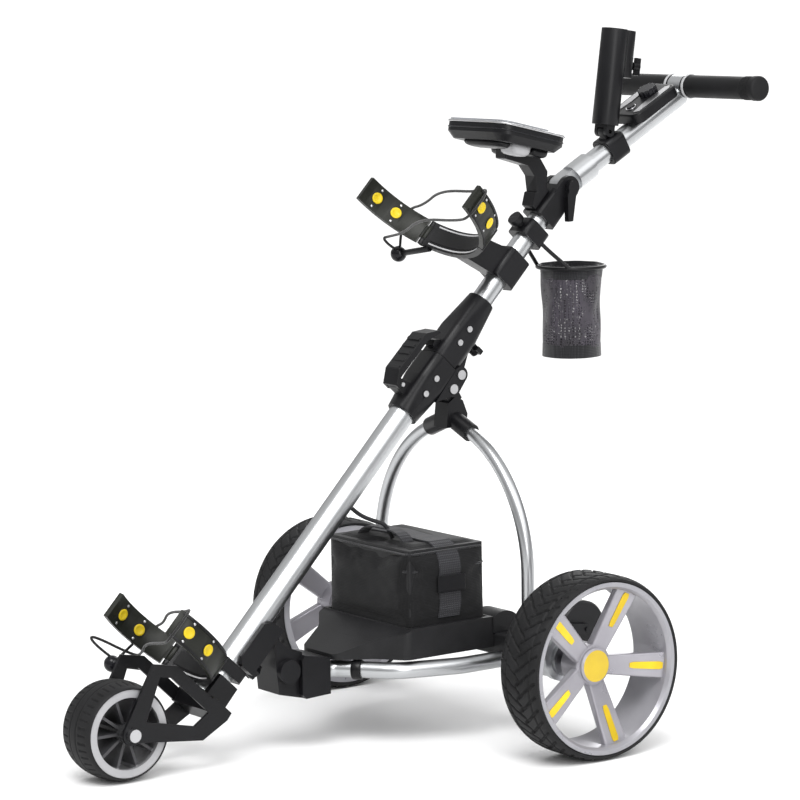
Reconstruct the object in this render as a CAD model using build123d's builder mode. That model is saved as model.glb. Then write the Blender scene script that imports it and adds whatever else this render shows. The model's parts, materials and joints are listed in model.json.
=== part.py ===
from build123d import *
from math import cos, degrees, pi, radians, sin, tan
import os

# An electric golf trolley: a folding stem on three wheels, with two bag cradles,
# a battery in the rear frame, two hub motors and a T handle.
# +X is the user's left, the front wheel is towards -Y, +Z is up. Millimetres.
# The origin is on the ground, below the middle of the whole trolley.
# Fore-and-aft places are given from the rear axle, which stands REAR_AXLE_Y behind the origin.

# ---- driving dimensions ----
REAR_AXLE_Y = 97.25
OVERALL_WIDTH = 700.0

REAR_WHEEL_RADIUS = 130.0
REAR_TYRE_WIDTH = 81.0
SPOKE_COUNT = 5
FRONT_WHEEL_RADIUS = 69.0
FRONT_TYRE_WIDTH = 72.0
FRONT_AXLE = (-584.0, FRONT_WHEEL_RADIUS)
FRONT_SPOKE_COUNT = 10
ANTI_TIP_AXLE = (231.0, 105.0)
ANTI_TIP_RADIUS = 42.0

STEM_ANGLE = 46.3
STEM_DATUM = (39.0, 597.0)
LOWER_TUBE_RADIUS = 19.0
LOWER_TUBE_FOOT = -690.0
LOWER_TUBE_TOP = -101.0
UPPER_TUBE_RADIUS = 16.0
UPPER_TUBE_FOOT = -68.0
UPPER_TUBE_TOP = 212.0
TUBE_WALL = 2.0
FIT = 0.05

HINGE_PIN = (-92.0, -28.0)
Y_PIN = (-116.0, -31.0)
PIN_RADIUS = 4.0
CASTING_HALF_WIDTH = 26.0
TONGUE_HALF_WIDTH = 14.7

HANDLE_ANGLE = 29.1
HANDLE_BEND_STATION = 240.5
HANDLE_BEND = (
    STEM_DATUM[0] + HANDLE_BEND_STATION * cos(radians(STEM_ANGLE)),
    STEM_DATUM[1] + HANDLE_BEND_STATION * sin(radians(STEM_ANGLE)),
)
HANDLE_LENGTH = 262.0
T_BAR_CENTRE = (440.0, 911.0)
T_BAR_RADIUS = 11.0
GRIP_RADIUS = 17.0
GRIP_END = 178.0

LOWER_CRADLE_STATION = -666.0
LOWER_CRADLE_CENTRE = 114.0
LOWER_CRADLE_RADIUS = 86.0
UPPER_CRADLE_STATION = 62.0
UPPER_CRADLE_CENTRE = 205.0
UPPER_CRADLE_RADIUS = 125.0
PAD_WIDTH = 40.0
PAD_THICKNESS = 7.0
BALL_RADIUS = 12.0
BUNGEE_RADIUS = 2.0

ARCH_CENTRE = (-26.0, 239.0)
ARCH_RADIUS = 204.0
ARCH_TUBE_RADIUS = 9.5
ARCH_FORE_AFT = -5.0
RAIL_RADIUS = 12.0
RAIL_HEIGHT = 110.0
BEAM_HALF_WIDTH = 188.0
BEAM_FRONT, BEAM_BACK = -15.0, 17.0
BEAM_BOTTOM, BEAM_TOP = 114.0, 146.0

BAG_SIZE = (202.0, 138.0, 152.0)
BAG_CENTRE_Y = -89.0
BAG_BOTTOM = 131.0
BATTERY_SIZE = (195.0, 131.0, 145.0)

POUCH_CENTRE_Y = 222.0
POUCH_RING_Z = 652.0
UMBRELLA_PIVOT = (288.0, 849.0)
UMBRELLA_LEAN = 8.4
CONSOLE_TILT = -13.0
CONSOLE_CENTRE = (104.0, 862.0)
CONSOLE_SIZE = (146.0, 124.0)

X_AXIS = Vector(1, 0, 0)
STEM_ALONG = Vector(0, cos(radians(STEM_ANGLE)), sin(radians(STEM_ANGLE)))
STEM_OUT = Vector(0, -sin(radians(STEM_ANGLE)), cos(radians(STEM_ANGLE)))
HANDLE_ALONG = Vector(0, cos(radians(HANDLE_ANGLE)), sin(radians(HANDLE_ANGLE)))
HANDLE_OUT = Vector(0, -sin(radians(HANDLE_ANGLE)), cos(radians(HANDLE_ANGLE)))

os.makedirs("parts", exist_ok=True)


# ---- places and planes ----
def place(x, y, z):
    """A point given from the ground below the rear axle."""
    return Vector(x, REAR_AXLE_Y + y, z)


def stem_at(x, along, out):
    """A point given along the stem, and out from its front face."""
    return place(x, *STEM_DATUM) + STEM_ALONG * along + STEM_OUT * out


def stem_side(x=0.0):
    """The stem seen from the side: local x runs up it, local y out in front of it."""
    return Plane(origin=stem_at(x, 0, 0), x_dir=STEM_ALONG, z_dir=X_AXIS)


def stem_section(along):
    """A cut across the stem: local x is lateral, local y points out. Extrudes downwards."""
    return Plane(origin=stem_at(0, along, 0), x_dir=X_AXIS, z_dir=STEM_ALONG * -1)


def handle_at(x, along, out):
    return place(x, *HANDLE_BEND) + HANDLE_ALONG * along + HANDLE_OUT * out


def handle_side(x=0.0):
    return Plane(origin=handle_at(x, 0, 0), x_dir=HANDLE_ALONG, z_dir=X_AXIS)


def handle_section(along):
    return Plane(origin=handle_at(0, along, 0), x_dir=X_AXIS, z_dir=HANDLE_ALONG * -1)


def handle_face(out):
    """A plane on top of the handle: local x is lateral, local y runs up it."""
    return Plane(origin=handle_at(0, 0, out), x_dir=X_AXIS, z_dir=HANDLE_OUT)


def side(x=0.0):
    """The trolley seen from its left: local x is aft of the rear axle, local y is height."""
    return Plane(origin=place(x, 0, 0), x_dir=(0, 1, 0), z_dir=X_AXIS)


def level(z):
    return Plane(origin=place(0, 0, z))


def across(y, z=0.0):
    """A plane across the trolley that faces forwards: local x is lateral, local y is up."""
    return Plane(origin=place(0, y, z), x_dir=X_AXIS, z_dir=(0, -1, 0))


def axle_line(y, z):
    return Axis(place(0, y, z), X_AXIS)


def write(piece, name):
    piece.part.label = name
    export_step(piece.part, f"parts/{name}.step")


def write_pair(piece, name):
    """Writes a left piece and its mirror image on the right."""
    write(piece, f"{name}_left")
    with BuildPart() as opposite:
        mirror(piece.part, about=Plane.YZ)
    write(opposite, f"{name}_right")


def ring_sector(centre_out, inner, outer, start, stop):
    """A curved band in a sketch, between two radii and two angles."""
    with BuildLine() as outline:
        inside = CenterArc((0, centre_out), inner, start, stop - start)
        outside = CenterArc((0, centre_out), outer, start, stop - start)
        Line(inside @ 0, outside @ 0)
        Line(inside @ 1, outside @ 1)
    make_face(outline.edges())


def corner_radii(route):
    """The largest arc that fits each corner of a route, from its shorter run and its turn."""
    radii = []
    for before, corner, after in zip(route, route[1:], route[2:]):
        run_in, run_out = corner - before, after - corner
        half_turn = radians(run_in.get_angle(run_out)) / 2
        radii.append(0.45 * min(run_in.length, run_out.length) / tan(half_turn))
    print("route radii", [round(radius, 1) for radius in radii])
    return radii


def spun_profile(points, y, z):
    """Spins a closed outline of (lateral, radius) points round a wheel axis."""
    with BuildSketch(across(y, z)) as profile:
        Polygon(*points, align=None)
    revolve(profile.sketch, axis=axle_line(y, z))


def bored_through(plane, radius, depth):
    """Cuts a round hole from a plane."""
    with BuildSketch(plane) as bore:
        Circle(radius)
    extrude(bore.sketch, amount=depth, mode=Mode.SUBTRACT)


# ---- stem tubes ----
def stem_tube(foot, top, radius):
    with BuildPart() as tube:
        with BuildSketch(stem_section(top)):
            Circle(radius)
            Circle(radius - TUBE_WALL, mode=Mode.SUBTRACT)
        extrude(amount=top - foot)
    return tube


write(stem_tube(LOWER_TUBE_FOOT, LOWER_TUBE_TOP, LOWER_TUBE_RADIUS), "lower_stem_tube")
write(stem_tube(UPPER_TUBE_FOOT, UPPER_TUBE_TOP, UPPER_TUBE_RADIUS), "upper_stem_tube")

# ---- fold hinge: two castings, one pin at the back, a latch lever in front ----
LOWER_CASTING_FOOT, LOWER_CASTING_TOP = -190.0, -93.0
UPPER_CASTING_FOOT, UPPER_CASTING_TOP = -91.5, 20.0
LUG_RADIUS = 12.0
LUG_CLEARANCE = 13.0
RIVET_SHANK = 2.5
RIVET_HEAD = 4.5
LOWER_RIVETS = (-124.0, -152.0)
UPPER_RIVETS = (-33.0, -58.0)
LATCH_PIVOT = (-164.0, 38.0)
LATCH_CATCH = -78.0

with BuildPart() as lower_casting:
    with BuildSketch(stem_section(LOWER_CASTING_TOP)):
        RectangleRounded(2 * CASTING_HALF_WIDTH, 50, 12)
    extrude(amount=40)
    with BuildSketch(stem_section(LOWER_CASTING_TOP - 40)):
        RectangleRounded(2 * CASTING_HALF_WIDTH, 50, 12)
    with BuildSketch(stem_section(LOWER_CASTING_FOOT)):
        Circle(23.5)
    loft()
    with BuildSketch(stem_side(-CASTING_HALF_WIDTH)):
        with Locations(HINGE_PIN, Y_PIN):
            Circle(LUG_RADIUS)
        Polygon((-93, -16), (-93, -40), (-116, -43), (-128, -34), (-150, -20), align=None)
    extrude(amount=2 * CASTING_HALF_WIDTH)
    with BuildSketch(stem_side(-TONGUE_HALF_WIDTH - 0.2)):
        with Locations(HINGE_PIN):
            Circle(LUG_CLEARANCE)
    extrude(amount=2 * TONGUE_HALF_WIDTH + 0.4, mode=Mode.SUBTRACT)
    with BuildSketch(stem_side(-13)):
        with Locations((Y_PIN[0], -34)):
            Rectangle(25, 28)
    extrude(amount=26, mode=Mode.SUBTRACT)
    with BuildSketch(stem_side(-10)):
        with Locations(LATCH_PIVOT):
            Circle(8)
        Polygon((-172, 20), (-150, 20), (-156, 40), (-172, 40), align=None)
    extrude(amount=20)
    bored_through(stem_section(LOWER_TUBE_TOP + 0.1), LOWER_TUBE_RADIUS + FIT, 100)
    with BuildSketch(stem_side(-40)):
        with Locations(HINGE_PIN, Y_PIN):
            Circle(PIN_RADIUS + FIT)
        with Locations(LATCH_PIVOT):
            Circle(3 + FIT)
    extrude(amount=80, mode=Mode.SUBTRACT)
    for station in LOWER_RIVETS:
        for face, direction in ((CASTING_HALF_WIDTH + 1, -1), (-CASTING_HALF_WIDTH - 1, 1)):
            with BuildSketch(stem_side(face)):
                with Locations((station, 3)):
                    Circle(RIVET_SHANK)
            extrude(amount=direction * 7, mode=Mode.SUBTRACT)
write(lower_casting, "hinge_lower_casting")

with BuildPart() as upper_casting:
    with BuildSketch(stem_section(-40)):
        RectangleRounded(48, 48, 12)
    extrude(amount=-40 - UPPER_CASTING_FOOT)
    with BuildSketch(stem_section(-40)):
        RectangleRounded(48, 48, 12)
    with BuildSketch(stem_section(UPPER_CASTING_TOP)):
        Circle(20.5)
    loft()
    with BuildSketch(stem_side(-TONGUE_HALF_WIDTH)):
        with Locations(HINGE_PIN):
            Circle(LUG_RADIUS)
        Polygon((-92, -16), (-92, -40), (-56, -24), (-56, -16), align=None)
    extrude(amount=2 * TONGUE_HALF_WIDTH)
    for face, direction in ((TONGUE_HALF_WIDTH, 1), (-TONGUE_HALF_WIDTH, -1)):
        with BuildSketch(stem_side(face)):
            with Locations(HINGE_PIN):
                Circle(LUG_CLEARANCE)
        extrude(amount=direction * 20, mode=Mode.SUBTRACT)
    with BuildSketch(stem_side(-9)):
        Polygon((-86, 20), (-86, 30), (-78, 33), (-66, 20), align=None)
    extrude(amount=18)
    bored_through(stem_section(UPPER_CASTING_TOP + 1), UPPER_TUBE_RADIUS + FIT, 90)
    with BuildSketch(stem_side(-40)):
        with Locations(HINGE_PIN):
            Circle(PIN_RADIUS + 2 * FIT)
    extrude(amount=80, mode=Mode.SUBTRACT)
    for station in UPPER_RIVETS:
        for face, direction in ((25, -1), (-25, 1)):
            with BuildSketch(stem_side(face)):
                with Locations((station, 4)):
                    Circle(RIVET_SHANK)
            extrude(amount=direction * 6.5, mode=Mode.SUBTRACT)
    with BuildSketch(Plane(origin=stem_at(0, -40, -23), x_dir=X_AXIS, z_dir=STEM_OUT * -1)):
        Circle(8)
    extrude(amount=9)
    with BuildSketch(Plane(origin=stem_at(0, -40, -20), x_dir=X_AXIS, z_dir=STEM_OUT * -1)):
        Circle(3 + FIT)
    extrude(amount=20, mode=Mode.SUBTRACT)
write(upper_casting, "hinge_upper_casting")


def rivets(stations, height, half_width):
    """Domed rivets in both cheeks of a casting."""
    for station in stations:
        for direction in (1, -1):
            face = stem_side(direction * half_width)
            with BuildSketch(face) as head:
                with Locations((station, height)):
                    Circle(RIVET_HEAD)
            extrude(head.sketch, amount=direction * 1.6)
            with BuildSketch(face) as shank:
                with Locations((station, height)):
                    Circle(RIVET_SHANK - FIT)
            extrude(shank.sketch, amount=-direction * 5.0)


with BuildPart() as hinge_pins:
    for pin in (HINGE_PIN, Y_PIN):
        with BuildSketch(stem_side(-CASTING_HALF_WIDTH - 2)):
            with Locations(pin):
                Circle(PIN_RADIUS)
        extrude(amount=2 * CASTING_HALF_WIDTH + 4)
        for direction in (1, -1):
            with BuildSketch(stem_side(direction * CASTING_HALF_WIDTH)):
                with Locations(pin):
                    Circle(7)
            extrude(amount=direction * 2.5)
    with BuildSketch(stem_side(-18)):
        with Locations(LATCH_PIVOT):
            Circle(3)
    extrude(amount=36)
    rivets(LOWER_RIVETS, 3, CASTING_HALF_WIDTH)
write(hinge_pins, "hinge_pins")

with BuildPart() as upper_rivets:
    rivets(UPPER_RIVETS, 4, 24)
write(upper_rivets, "upper_rivets")

with BuildPart() as latch_lever:
    with BuildSketch(stem_side(-17)):
        with BuildLine():
            Polyline((-172, 34), (-158, 47), (-90, 46), (-66, 35), (-66, 41), (-84, 56))
            Polyline((-84, 56), (-152, 58), (-172, 46), (-172, 34))
        make_face()
    extrude(amount=34)
    with BuildSketch(stem_side(-10.3)):
        with Locations(LATCH_PIVOT):
            Circle(9)
    extrude(amount=20.6, mode=Mode.SUBTRACT)
    for rib in range(5):
        with BuildSketch(stem_side(-14)):
            with Locations((-148 + 13 * rib, 57)):
                Rectangle(5, 4)
        extrude(amount=28)
    with BuildSketch(stem_side(-20)):
        with Locations(LATCH_PIVOT):
            Circle(3 + 2 * FIT)
    extrude(amount=40, mode=Mode.SUBTRACT)
write(latch_lever, "latch_lever")

with BuildPart() as hinge_knob:
    with BuildSketch(Plane(origin=stem_at(0, -40, -21), x_dir=X_AXIS, z_dir=STEM_OUT * -1)):
        Circle(3)
    extrude(amount=14)
    with BuildSketch(Plane(origin=stem_at(0, -40, -32.5), x_dir=X_AXIS, z_dir=STEM_OUT * -1)):
        Circle(8)
        Rectangle(30, 7)
    extrude(amount=11)
write(hinge_knob, "hinge_knob")

# ---- rear frame: Y bracket, arches, rails, axle beam ----
SOCKET_RADIUS = 13.5
SOCKET_DEPTH = 24.0
ARCH_TOP_ANGLE = 68.4
ARCH_LEG_FOOT = 128.0
ARCH_LEG_X = ARCH_CENTRE[0] + ARCH_RADIUS
RAIL_FRONT_X = 20.0
RAIL_REAR_X = 124.0

with BuildPart() as arch:
    with BuildLine(across(ARCH_FORE_AFT)) as arch_path:
        bend = CenterArc(ARCH_CENTRE, ARCH_RADIUS, 0, ARCH_TOP_ANGLE)
        upper_end = Line(bend @ 1, bend @ 1 + (bend % 1) * SOCKET_DEPTH)
        Line(bend @ 0, place(ARCH_LEG_X, ARCH_FORE_AFT, ARCH_LEG_FOOT))
    with BuildSketch(Plane(origin=arch_path.line @ 0, z_dir=arch_path.line % 0)):
        Circle(ARCH_TUBE_RADIUS)
        Circle(ARCH_TUBE_RADIUS - 1.5, mode=Mode.SUBTRACT)
    sweep()
with BuildPart() as arches:
    add(arch.part)
    mirror(arch.part, about=Plane.YZ)
write(arches, "arch_tubes")

SOCKET_MOUTH = bend @ 1
SOCKET_AXIS = bend % 1
SOCKET_ROOT = SOCKET_MOUTH + SOCKET_AXIS * 42

with BuildPart() as y_bracket:
    with BuildSketch(stem_side(-12.6)):
        with Locations(Y_PIN):
            Circle(10)
        Polygon((-126, -31), (-106, -31), (-106, -46), (-110, -60), (-132, -60), align=None)
    extrude(amount=25.2)
    with BuildSketch(side(-16)):
        with BuildLine():
            Polyline((-24, 434), (12, 434), (14, 452), (6, 472), (-6, 480), (-20, 470), (-24, 434))
        make_face()
    extrude(amount=32)
    with BuildSketch(Plane(origin=SOCKET_ROOT, z_dir=SOCKET_AXIS * -1)):
        Circle(SOCKET_RADIUS)
    extrude(amount=42)
    split(bisect_by=Plane.YZ)
    mirror(about=Plane.YZ)
    for direction in (1, -1):
        mouth = Vector(direction * SOCKET_MOUTH.X, SOCKET_MOUTH.Y, SOCKET_MOUTH.Z)
        inward = Vector(direction * SOCKET_AXIS.X, SOCKET_AXIS.Y, SOCKET_AXIS.Z)
        with BuildSketch(Plane(origin=mouth - inward * 2, z_dir=inward)):
            Circle(ARCH_TUBE_RADIUS + FIT)
        extrude(amount=SOCKET_DEPTH + 2.5, mode=Mode.SUBTRACT)
    with BuildSketch(stem_side(-20)):
        with Locations(Y_PIN):
            Circle(PIN_RADIUS + FIT)
    extrude(amount=40, mode=Mode.SUBTRACT)
write(y_bracket, "y_bracket")

with BuildPart() as rail:
    with BuildLine(level(RAIL_HEIGHT)) as rail_path:
        FilletPolyline(
            (RAIL_FRONT_X, -268),
            (RAIL_FRONT_X, -236),
            (95, -178),
            (RAIL_REAR_X, -84),
            (RAIL_REAR_X, BEAM_FRONT - 0.1),
            radius=[22, 60, 80],
        )
    with BuildSketch(Plane(origin=rail_path.line @ 0, z_dir=rail_path.line % 0)):
        Circle(RAIL_RADIUS)
        Circle(RAIL_RADIUS - 1.8, mode=Mode.SUBTRACT)
    sweep()
with BuildPart() as rails:
    add(rail.part)
    mirror(rail.part, about=Plane.YZ)
write(rails, "frame_rails")

BEAM_DEPTH = BEAM_BACK - BEAM_FRONT
BEAM_HEIGHT = BEAM_TOP - BEAM_BOTTOM
BEAM_MIDDLE = ((BEAM_FRONT + BEAM_BACK) / 2, (BEAM_TOP + BEAM_BOTTOM) / 2)
with BuildPart() as axle_beam:
    with BuildSketch(side(-BEAM_HALF_WIDTH)):
        with Locations(BEAM_MIDDLE):
            RectangleRounded(BEAM_DEPTH, BEAM_HEIGHT, 4)
    extrude(amount=2 * BEAM_HALF_WIDTH)
    with BuildSketch(side(-BEAM_HALF_WIDTH + 26)):
        with Locations(BEAM_MIDDLE):
            Rectangle(BEAM_DEPTH - 6, BEAM_HEIGHT - 6)
    extrude(amount=2 * (BEAM_HALF_WIDTH - 26), mode=Mode.SUBTRACT)
    for direction in (1, -1):
        with BuildSketch(side(direction * (BEAM_HALF_WIDTH - 4))):
            with Locations((0, REAR_WHEEL_RADIUS)):
                Circle(35)
        extrude(amount=direction * 4)
    with BuildSketch(level(ARCH_LEG_FOOT - 0.5)):
        with Locations((ARCH_LEG_X, ARCH_FORE_AFT), (-ARCH_LEG_X, ARCH_FORE_AFT)):
            Circle(ARCH_TUBE_RADIUS + FIT)
    extrude(amount=50, mode=Mode.SUBTRACT)
write(axle_beam, "axle_beam")

# ---- fold bracket between the stem and the rails ----
FOLD_BRACKET_HALF_WIDTH = 27.0
FOLD_BODY_HALF_WIDTH = 36.0
FOLD_KNOB_STATION = -619.0

with BuildPart() as fold_bracket:
    with BuildSketch(stem_side(-FOLD_BRACKET_HALF_WIDTH)):
        Polygon((-632, -30), (-632, -6), (-622, 3), (-566, 3), (-556, -6), (-552, -30), align=None)
    extrude(amount=2 * FOLD_BRACKET_HALF_WIDTH)
    with BuildSketch(side(-FOLD_BRACKET_HALF_WIDTH)):
        Polygon((-336, 124), (-332, 86), (-292, 76), (-292, 142), (-318, 152), (-338, 170), align=None)
    extrude(amount=2 * FOLD_BRACKET_HALF_WIDTH)
    with BuildSketch(side(-FOLD_BODY_HALF_WIDTH)):
        Polygon((-298, 82), (-292, 76), (-250, 78), (-250, 130), (-292, 138), (-298, 132), align=None)
    extrude(amount=2 * FOLD_BODY_HALF_WIDTH)
    with BuildSketch(side(-FOLD_BODY_HALF_WIDTH)):
        with Locations((-318, 118)):
            Circle(17)
    extrude(amount=2 * FOLD_BODY_HALF_WIDTH)
    bored_through(stem_section(-540), LOWER_TUBE_RADIUS + FIT, 110)
    with BuildSketch(across(-270)):
        with Locations((RAIL_FRONT_X, RAIL_HEIGHT), (-RAIL_FRONT_X, RAIL_HEIGHT)):
            Circle(RAIL_RADIUS + FIT)
    extrude(amount=-30, mode=Mode.SUBTRACT)
    bored_through(Plane(origin=stem_at(0, FOLD_KNOB_STATION, -18), x_dir=X_AXIS, z_dir=STEM_OUT * -1), 3 + FIT, 30)
write(fold_bracket, "fold_bracket")

with BuildPart() as fold_knob:
    with BuildSketch(Plane(origin=stem_at(0, FOLD_KNOB_STATION, -21), x_dir=X_AXIS, z_dir=STEM_OUT * -1)):
        Circle(3)
    extrude(amount=16)
    with BuildSketch(Plane(origin=stem_at(0, FOLD_KNOB_STATION, -34), x_dir=X_AXIS, z_dir=STEM_OUT * -1)):
        Circle(11)
        with PolarLocations(10, 6):
            Circle(3)
    extrude(amount=13)
write(fold_knob, "fold_knob")

# ---- hub motors ----
MOTOR_IN, MOTOR_OUT = BEAM_HALF_WIDTH + 0.1, 262.0
AXLE_RADIUS = 8.0

with BuildPart() as motor:
    outline = (
        (MOTOR_IN, 0), (MOTOR_IN, 35), (194, 35), (196, 31), (240, 31), (242, 33),
        (252, 33), (254, 25), (MOTOR_OUT, 25), (MOTOR_OUT, AXLE_RADIUS + FIT), (250, AXLE_RADIUS + FIT),
        (250, 27), (194, 27), (194, 0),
    )
    spun_profile(outline, 0, REAR_WHEEL_RADIUS)
write_pair(motor, "motor")

with BuildPart() as rotor:
    spun_profile(((197, 0), (197, 22), (228, 22), (228, 5), (231, 5), (231, 0)), 0, REAR_WHEEL_RADIUS)
write_pair(rotor, "motor_rotor")

# ---- rear wheels ----
HUB_RADIUS = 30.0
HUB_IN, HUB_OUT = 283.0, 319.0
BARREL_RADIUS = 117.0
LIP_RADIUS = 121.0
WHEEL_OUT = OVERALL_WIDTH / 2
WHEEL_IN = WHEEL_OUT - REAR_TYRE_WIDTH

with BuildPart() as rear_axle:
    spun_profile(((232, 0), (232, 20), (244, 20), (244, AXLE_RADIUS), (318, AXLE_RADIUS), (318, 0)), 0, REAR_WHEEL_RADIUS)
write_pair(rear_axle, "rear_axle")

with BuildPart() as rear_rim:
    barrel = (
        (WHEEL_IN + 2, 111), (WHEEL_IN + 2, LIP_RADIUS), (WHEEL_IN + 6, LIP_RADIUS), (WHEEL_IN + 8, BARREL_RADIUS),
        (WHEEL_OUT - 8, BARREL_RADIUS), (WHEEL_OUT - 5, LIP_RADIUS), (WHEEL_OUT - 1, LIP_RADIUS),
        (WHEEL_OUT - 1, 115), (WHEEL_OUT - 6, 111),
    )
    spun_profile(barrel, 0, REAR_WHEEL_RADIUS)
    spun_profile(((HUB_IN, 0), (HUB_IN, HUB_RADIUS), (HUB_OUT - 3, HUB_RADIUS), (HUB_OUT, HUB_RADIUS - 3), (HUB_OUT, 0)), 0, REAR_WHEEL_RADIUS)
    for spoke in range(SPOKE_COUNT):
        turn = radians(-6 + 360 * spoke / SPOKE_COUNT)
        outward = Vector(0, cos(turn), sin(turn))
        for reach, lateral, depth, breadth in ((22, 310, 15, 27), (112.5, 333, 11, 38)):
            origin = place(lateral, 0, REAR_WHEEL_RADIUS) + outward * reach
            with BuildSketch(Plane(origin=origin, x_dir=X_AXIS, z_dir=outward)):
                RectangleRounded(depth, breadth, 3)
        loft()
    with BuildSketch(side(HUB_IN - 1)):
        with Locations((0, REAR_WHEEL_RADIUS)):
            Circle(AXLE_RADIUS + FIT)
    extrude(amount=HUB_OUT - HUB_IN + 2, mode=Mode.SUBTRACT)
write_pair(rear_rim, "rear_rim")

with BuildPart() as rear_tyre:
    section = (
        (WHEEL_IN, LIP_RADIUS + 0.1), (WHEEL_IN, 124), (WHEEL_IN + 5, 128.5), (WHEEL_IN + 14, REAR_WHEEL_RADIUS),
        (WHEEL_OUT - 14, REAR_WHEEL_RADIUS), (WHEEL_OUT - 5, 128.5), (WHEEL_OUT, 124), (WHEEL_OUT, LIP_RADIUS + 0.1),
        (WHEEL_OUT - 6.4, LIP_RADIUS + 0.1), (WHEEL_OUT - 9.4, BARREL_RADIUS + 0.1),
        (WHEEL_IN + 9.4, BARREL_RADIUS + 0.1), (WHEEL_IN + 7.4, LIP_RADIUS + 0.1),
    )
    spun_profile(section, 0, REAR_WHEEL_RADIUS)
write_pair(rear_tyre, "rear_tyre")

with BuildPart() as hub_cap:
    spun_profile(((HUB_OUT + 0.1, 0), (HUB_OUT + 0.1, 25), (HUB_OUT + 3, 25), (HUB_OUT + 5, 22), (HUB_OUT + 5, 0)), 0, REAR_WHEEL_RADIUS)
write_pair(hub_cap, "hub_cap")

# ---- front wheel and fork ----
FRONT_RIM_RADIUS = 61.0
FRONT_HALF = FRONT_TYRE_WIDTH / 2
PLATE_IN, PLATE_OUT = 40.0, 45.0
CROWN_TOP = -660.0
CROWN_HALF_WIDTH = 24.0
FORK_OFFSET = place(0, *FRONT_AXLE) - stem_at(0, 0, 0)
FORK_HUB = (FORK_OFFSET.dot(STEM_ALONG), FORK_OFFSET.dot(STEM_OUT))

with BuildPart() as front_rim:
    ring = (
        (-34, 50), (-34, FRONT_RIM_RADIUS), (34, FRONT_RIM_RADIUS), (34, 50), (28, 50), (28, 56), (-28, 56), (-28, 50),
    )
    spun_profile(ring, *FRONT_AXLE)
    spun_profile(((-38, 0), (-38, 14), (38, 14), (38, 0)), *FRONT_AXLE)
    for spoke in range(FRONT_SPOKE_COUNT):
        turn = 2 * pi * spoke / FRONT_SPOKE_COUNT
        outward = Vector(0, cos(turn), sin(turn))
        with BuildSketch(Plane(origin=place(0, *FRONT_AXLE) + outward * 11, x_dir=X_AXIS, z_dir=outward)):
            Rectangle(56, 4)
        extrude(amount=47)
    with BuildSketch(side(-40)):
        with Locations(FRONT_AXLE):
            Circle(5 + FIT)
    extrude(amount=80, mode=Mode.SUBTRACT)
write(front_rim, "front_rim")

with BuildPart() as front_tyre:
    with BuildSketch(across(*FRONT_AXLE)):
        with BuildLine():
            inner_edge = Line((FRONT_HALF, FRONT_RIM_RADIUS + 0.1), (-FRONT_HALF, FRONT_RIM_RADIUS + 0.1))
            ThreePointArc(inner_edge @ 1, (0, FRONT_WHEEL_RADIUS), inner_edge @ 0)
        make_face()
    revolve(axis=axle_line(*FRONT_AXLE))
write(front_tyre, "front_tyre")

with BuildPart() as front_axle:
    spun_profile(((-52, 0), (-52, 9), (-45, 9), (-45, 5), (45, 5), (45, 9), (52, 9), (52, 0)), *FRONT_AXLE)
write(front_axle, "front_axle")

with BuildPart() as front_fork:
    with BuildSketch(stem_side(PLATE_IN)) as plate:
        with BuildLine():
            hub_arc = CenterArc(FORK_HUB, 15, 110, 150)
            Polyline(hub_arc @ 1, (-752, -12), (-708, -26), (-699, -14), (-699, 92), (-720, 124), hub_arc @ 0)
        make_face()
        with BuildLine():
            Polyline((-786, 80), (-745, 12), (-717, 6), (-717, 88), (-727, 104), close=True)
        make_face(mode=Mode.SUBTRACT)
    extrude(amount=PLATE_OUT - PLATE_IN)
    mirror(about=Plane.YZ)
    with BuildSketch(stem_side(-PLATE_OUT)):
        Polygon((-718, -20), (-708, -26), (-696, -25), (-696, 14), (-718, 12), align=None)
    extrude(amount=2 * PLATE_OUT)
    with BuildSketch(stem_side(-CROWN_HALF_WIDTH)):
        Polygon((-700, -25), (CROWN_TOP, -24), (CROWN_TOP, 12.5), (-700, 13.5), align=None)
    extrude(amount=2 * CROWN_HALF_WIDTH)
    bored_through(stem_section(-640), LOWER_TUBE_RADIUS + FIT, 50.1)
    with BuildSketch(stem_side(-60)):
        with Locations(FORK_HUB):
            Circle(5 + FIT)
    extrude(amount=120, mode=Mode.SUBTRACT)
write(front_fork, "front_fork")

# ---- anti-tip wheel behind the axle ----
ARM_HALF_WIDTH = 10.0
FORK_CHEEK_IN, FORK_CHEEK_OUT = 15.5, 19.5

with BuildPart() as anti_tip_arm:
    with BuildSketch(side(-ARM_HALF_WIDTH)):
        Polygon((BEAM_BACK + 0.1, 117), (BEAM_BACK + 0.1, 143), (60, 138), (180, 121), (180, 103), (60, 117), align=None)
    extrude(amount=2 * ARM_HALF_WIDTH)
    with BuildSketch(side(-FORK_CHEEK_OUT)):
        Polygon((166, 104), (166, 122), (180, 121), (180, 103), align=None)
    extrude(amount=2 * FORK_CHEEK_OUT)
    for direction in (1, -1):
        with BuildSketch(side(direction * FORK_CHEEK_IN)):
            Polygon((166, 104), (166, 122), (232, 113), (232, 97), align=None)
            with Locations(ANTI_TIP_AXLE):
                Circle(8)
                Circle(3.5 + FIT, mode=Mode.SUBTRACT)
        extrude(amount=direction * (FORK_CHEEK_OUT - FORK_CHEEK_IN))
write(anti_tip_arm, "anti_tip_arm")

with BuildPart() as anti_tip_wheel:
    spun_profile(((-12, 3), (-12, 39), (-8, 42), (8, 42), (12, 39), (12, 3)), *ANTI_TIP_AXLE)
    spun_profile(((-15, 0), (-15, 9), (15, 9), (15, 0)), *ANTI_TIP_AXLE)
    spun_profile(((-22, 0), (-22, 3.5), (22, 3.5), (22, 0)), *ANTI_TIP_AXLE)
write(anti_tip_wheel, "anti_tip_wheel")

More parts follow.
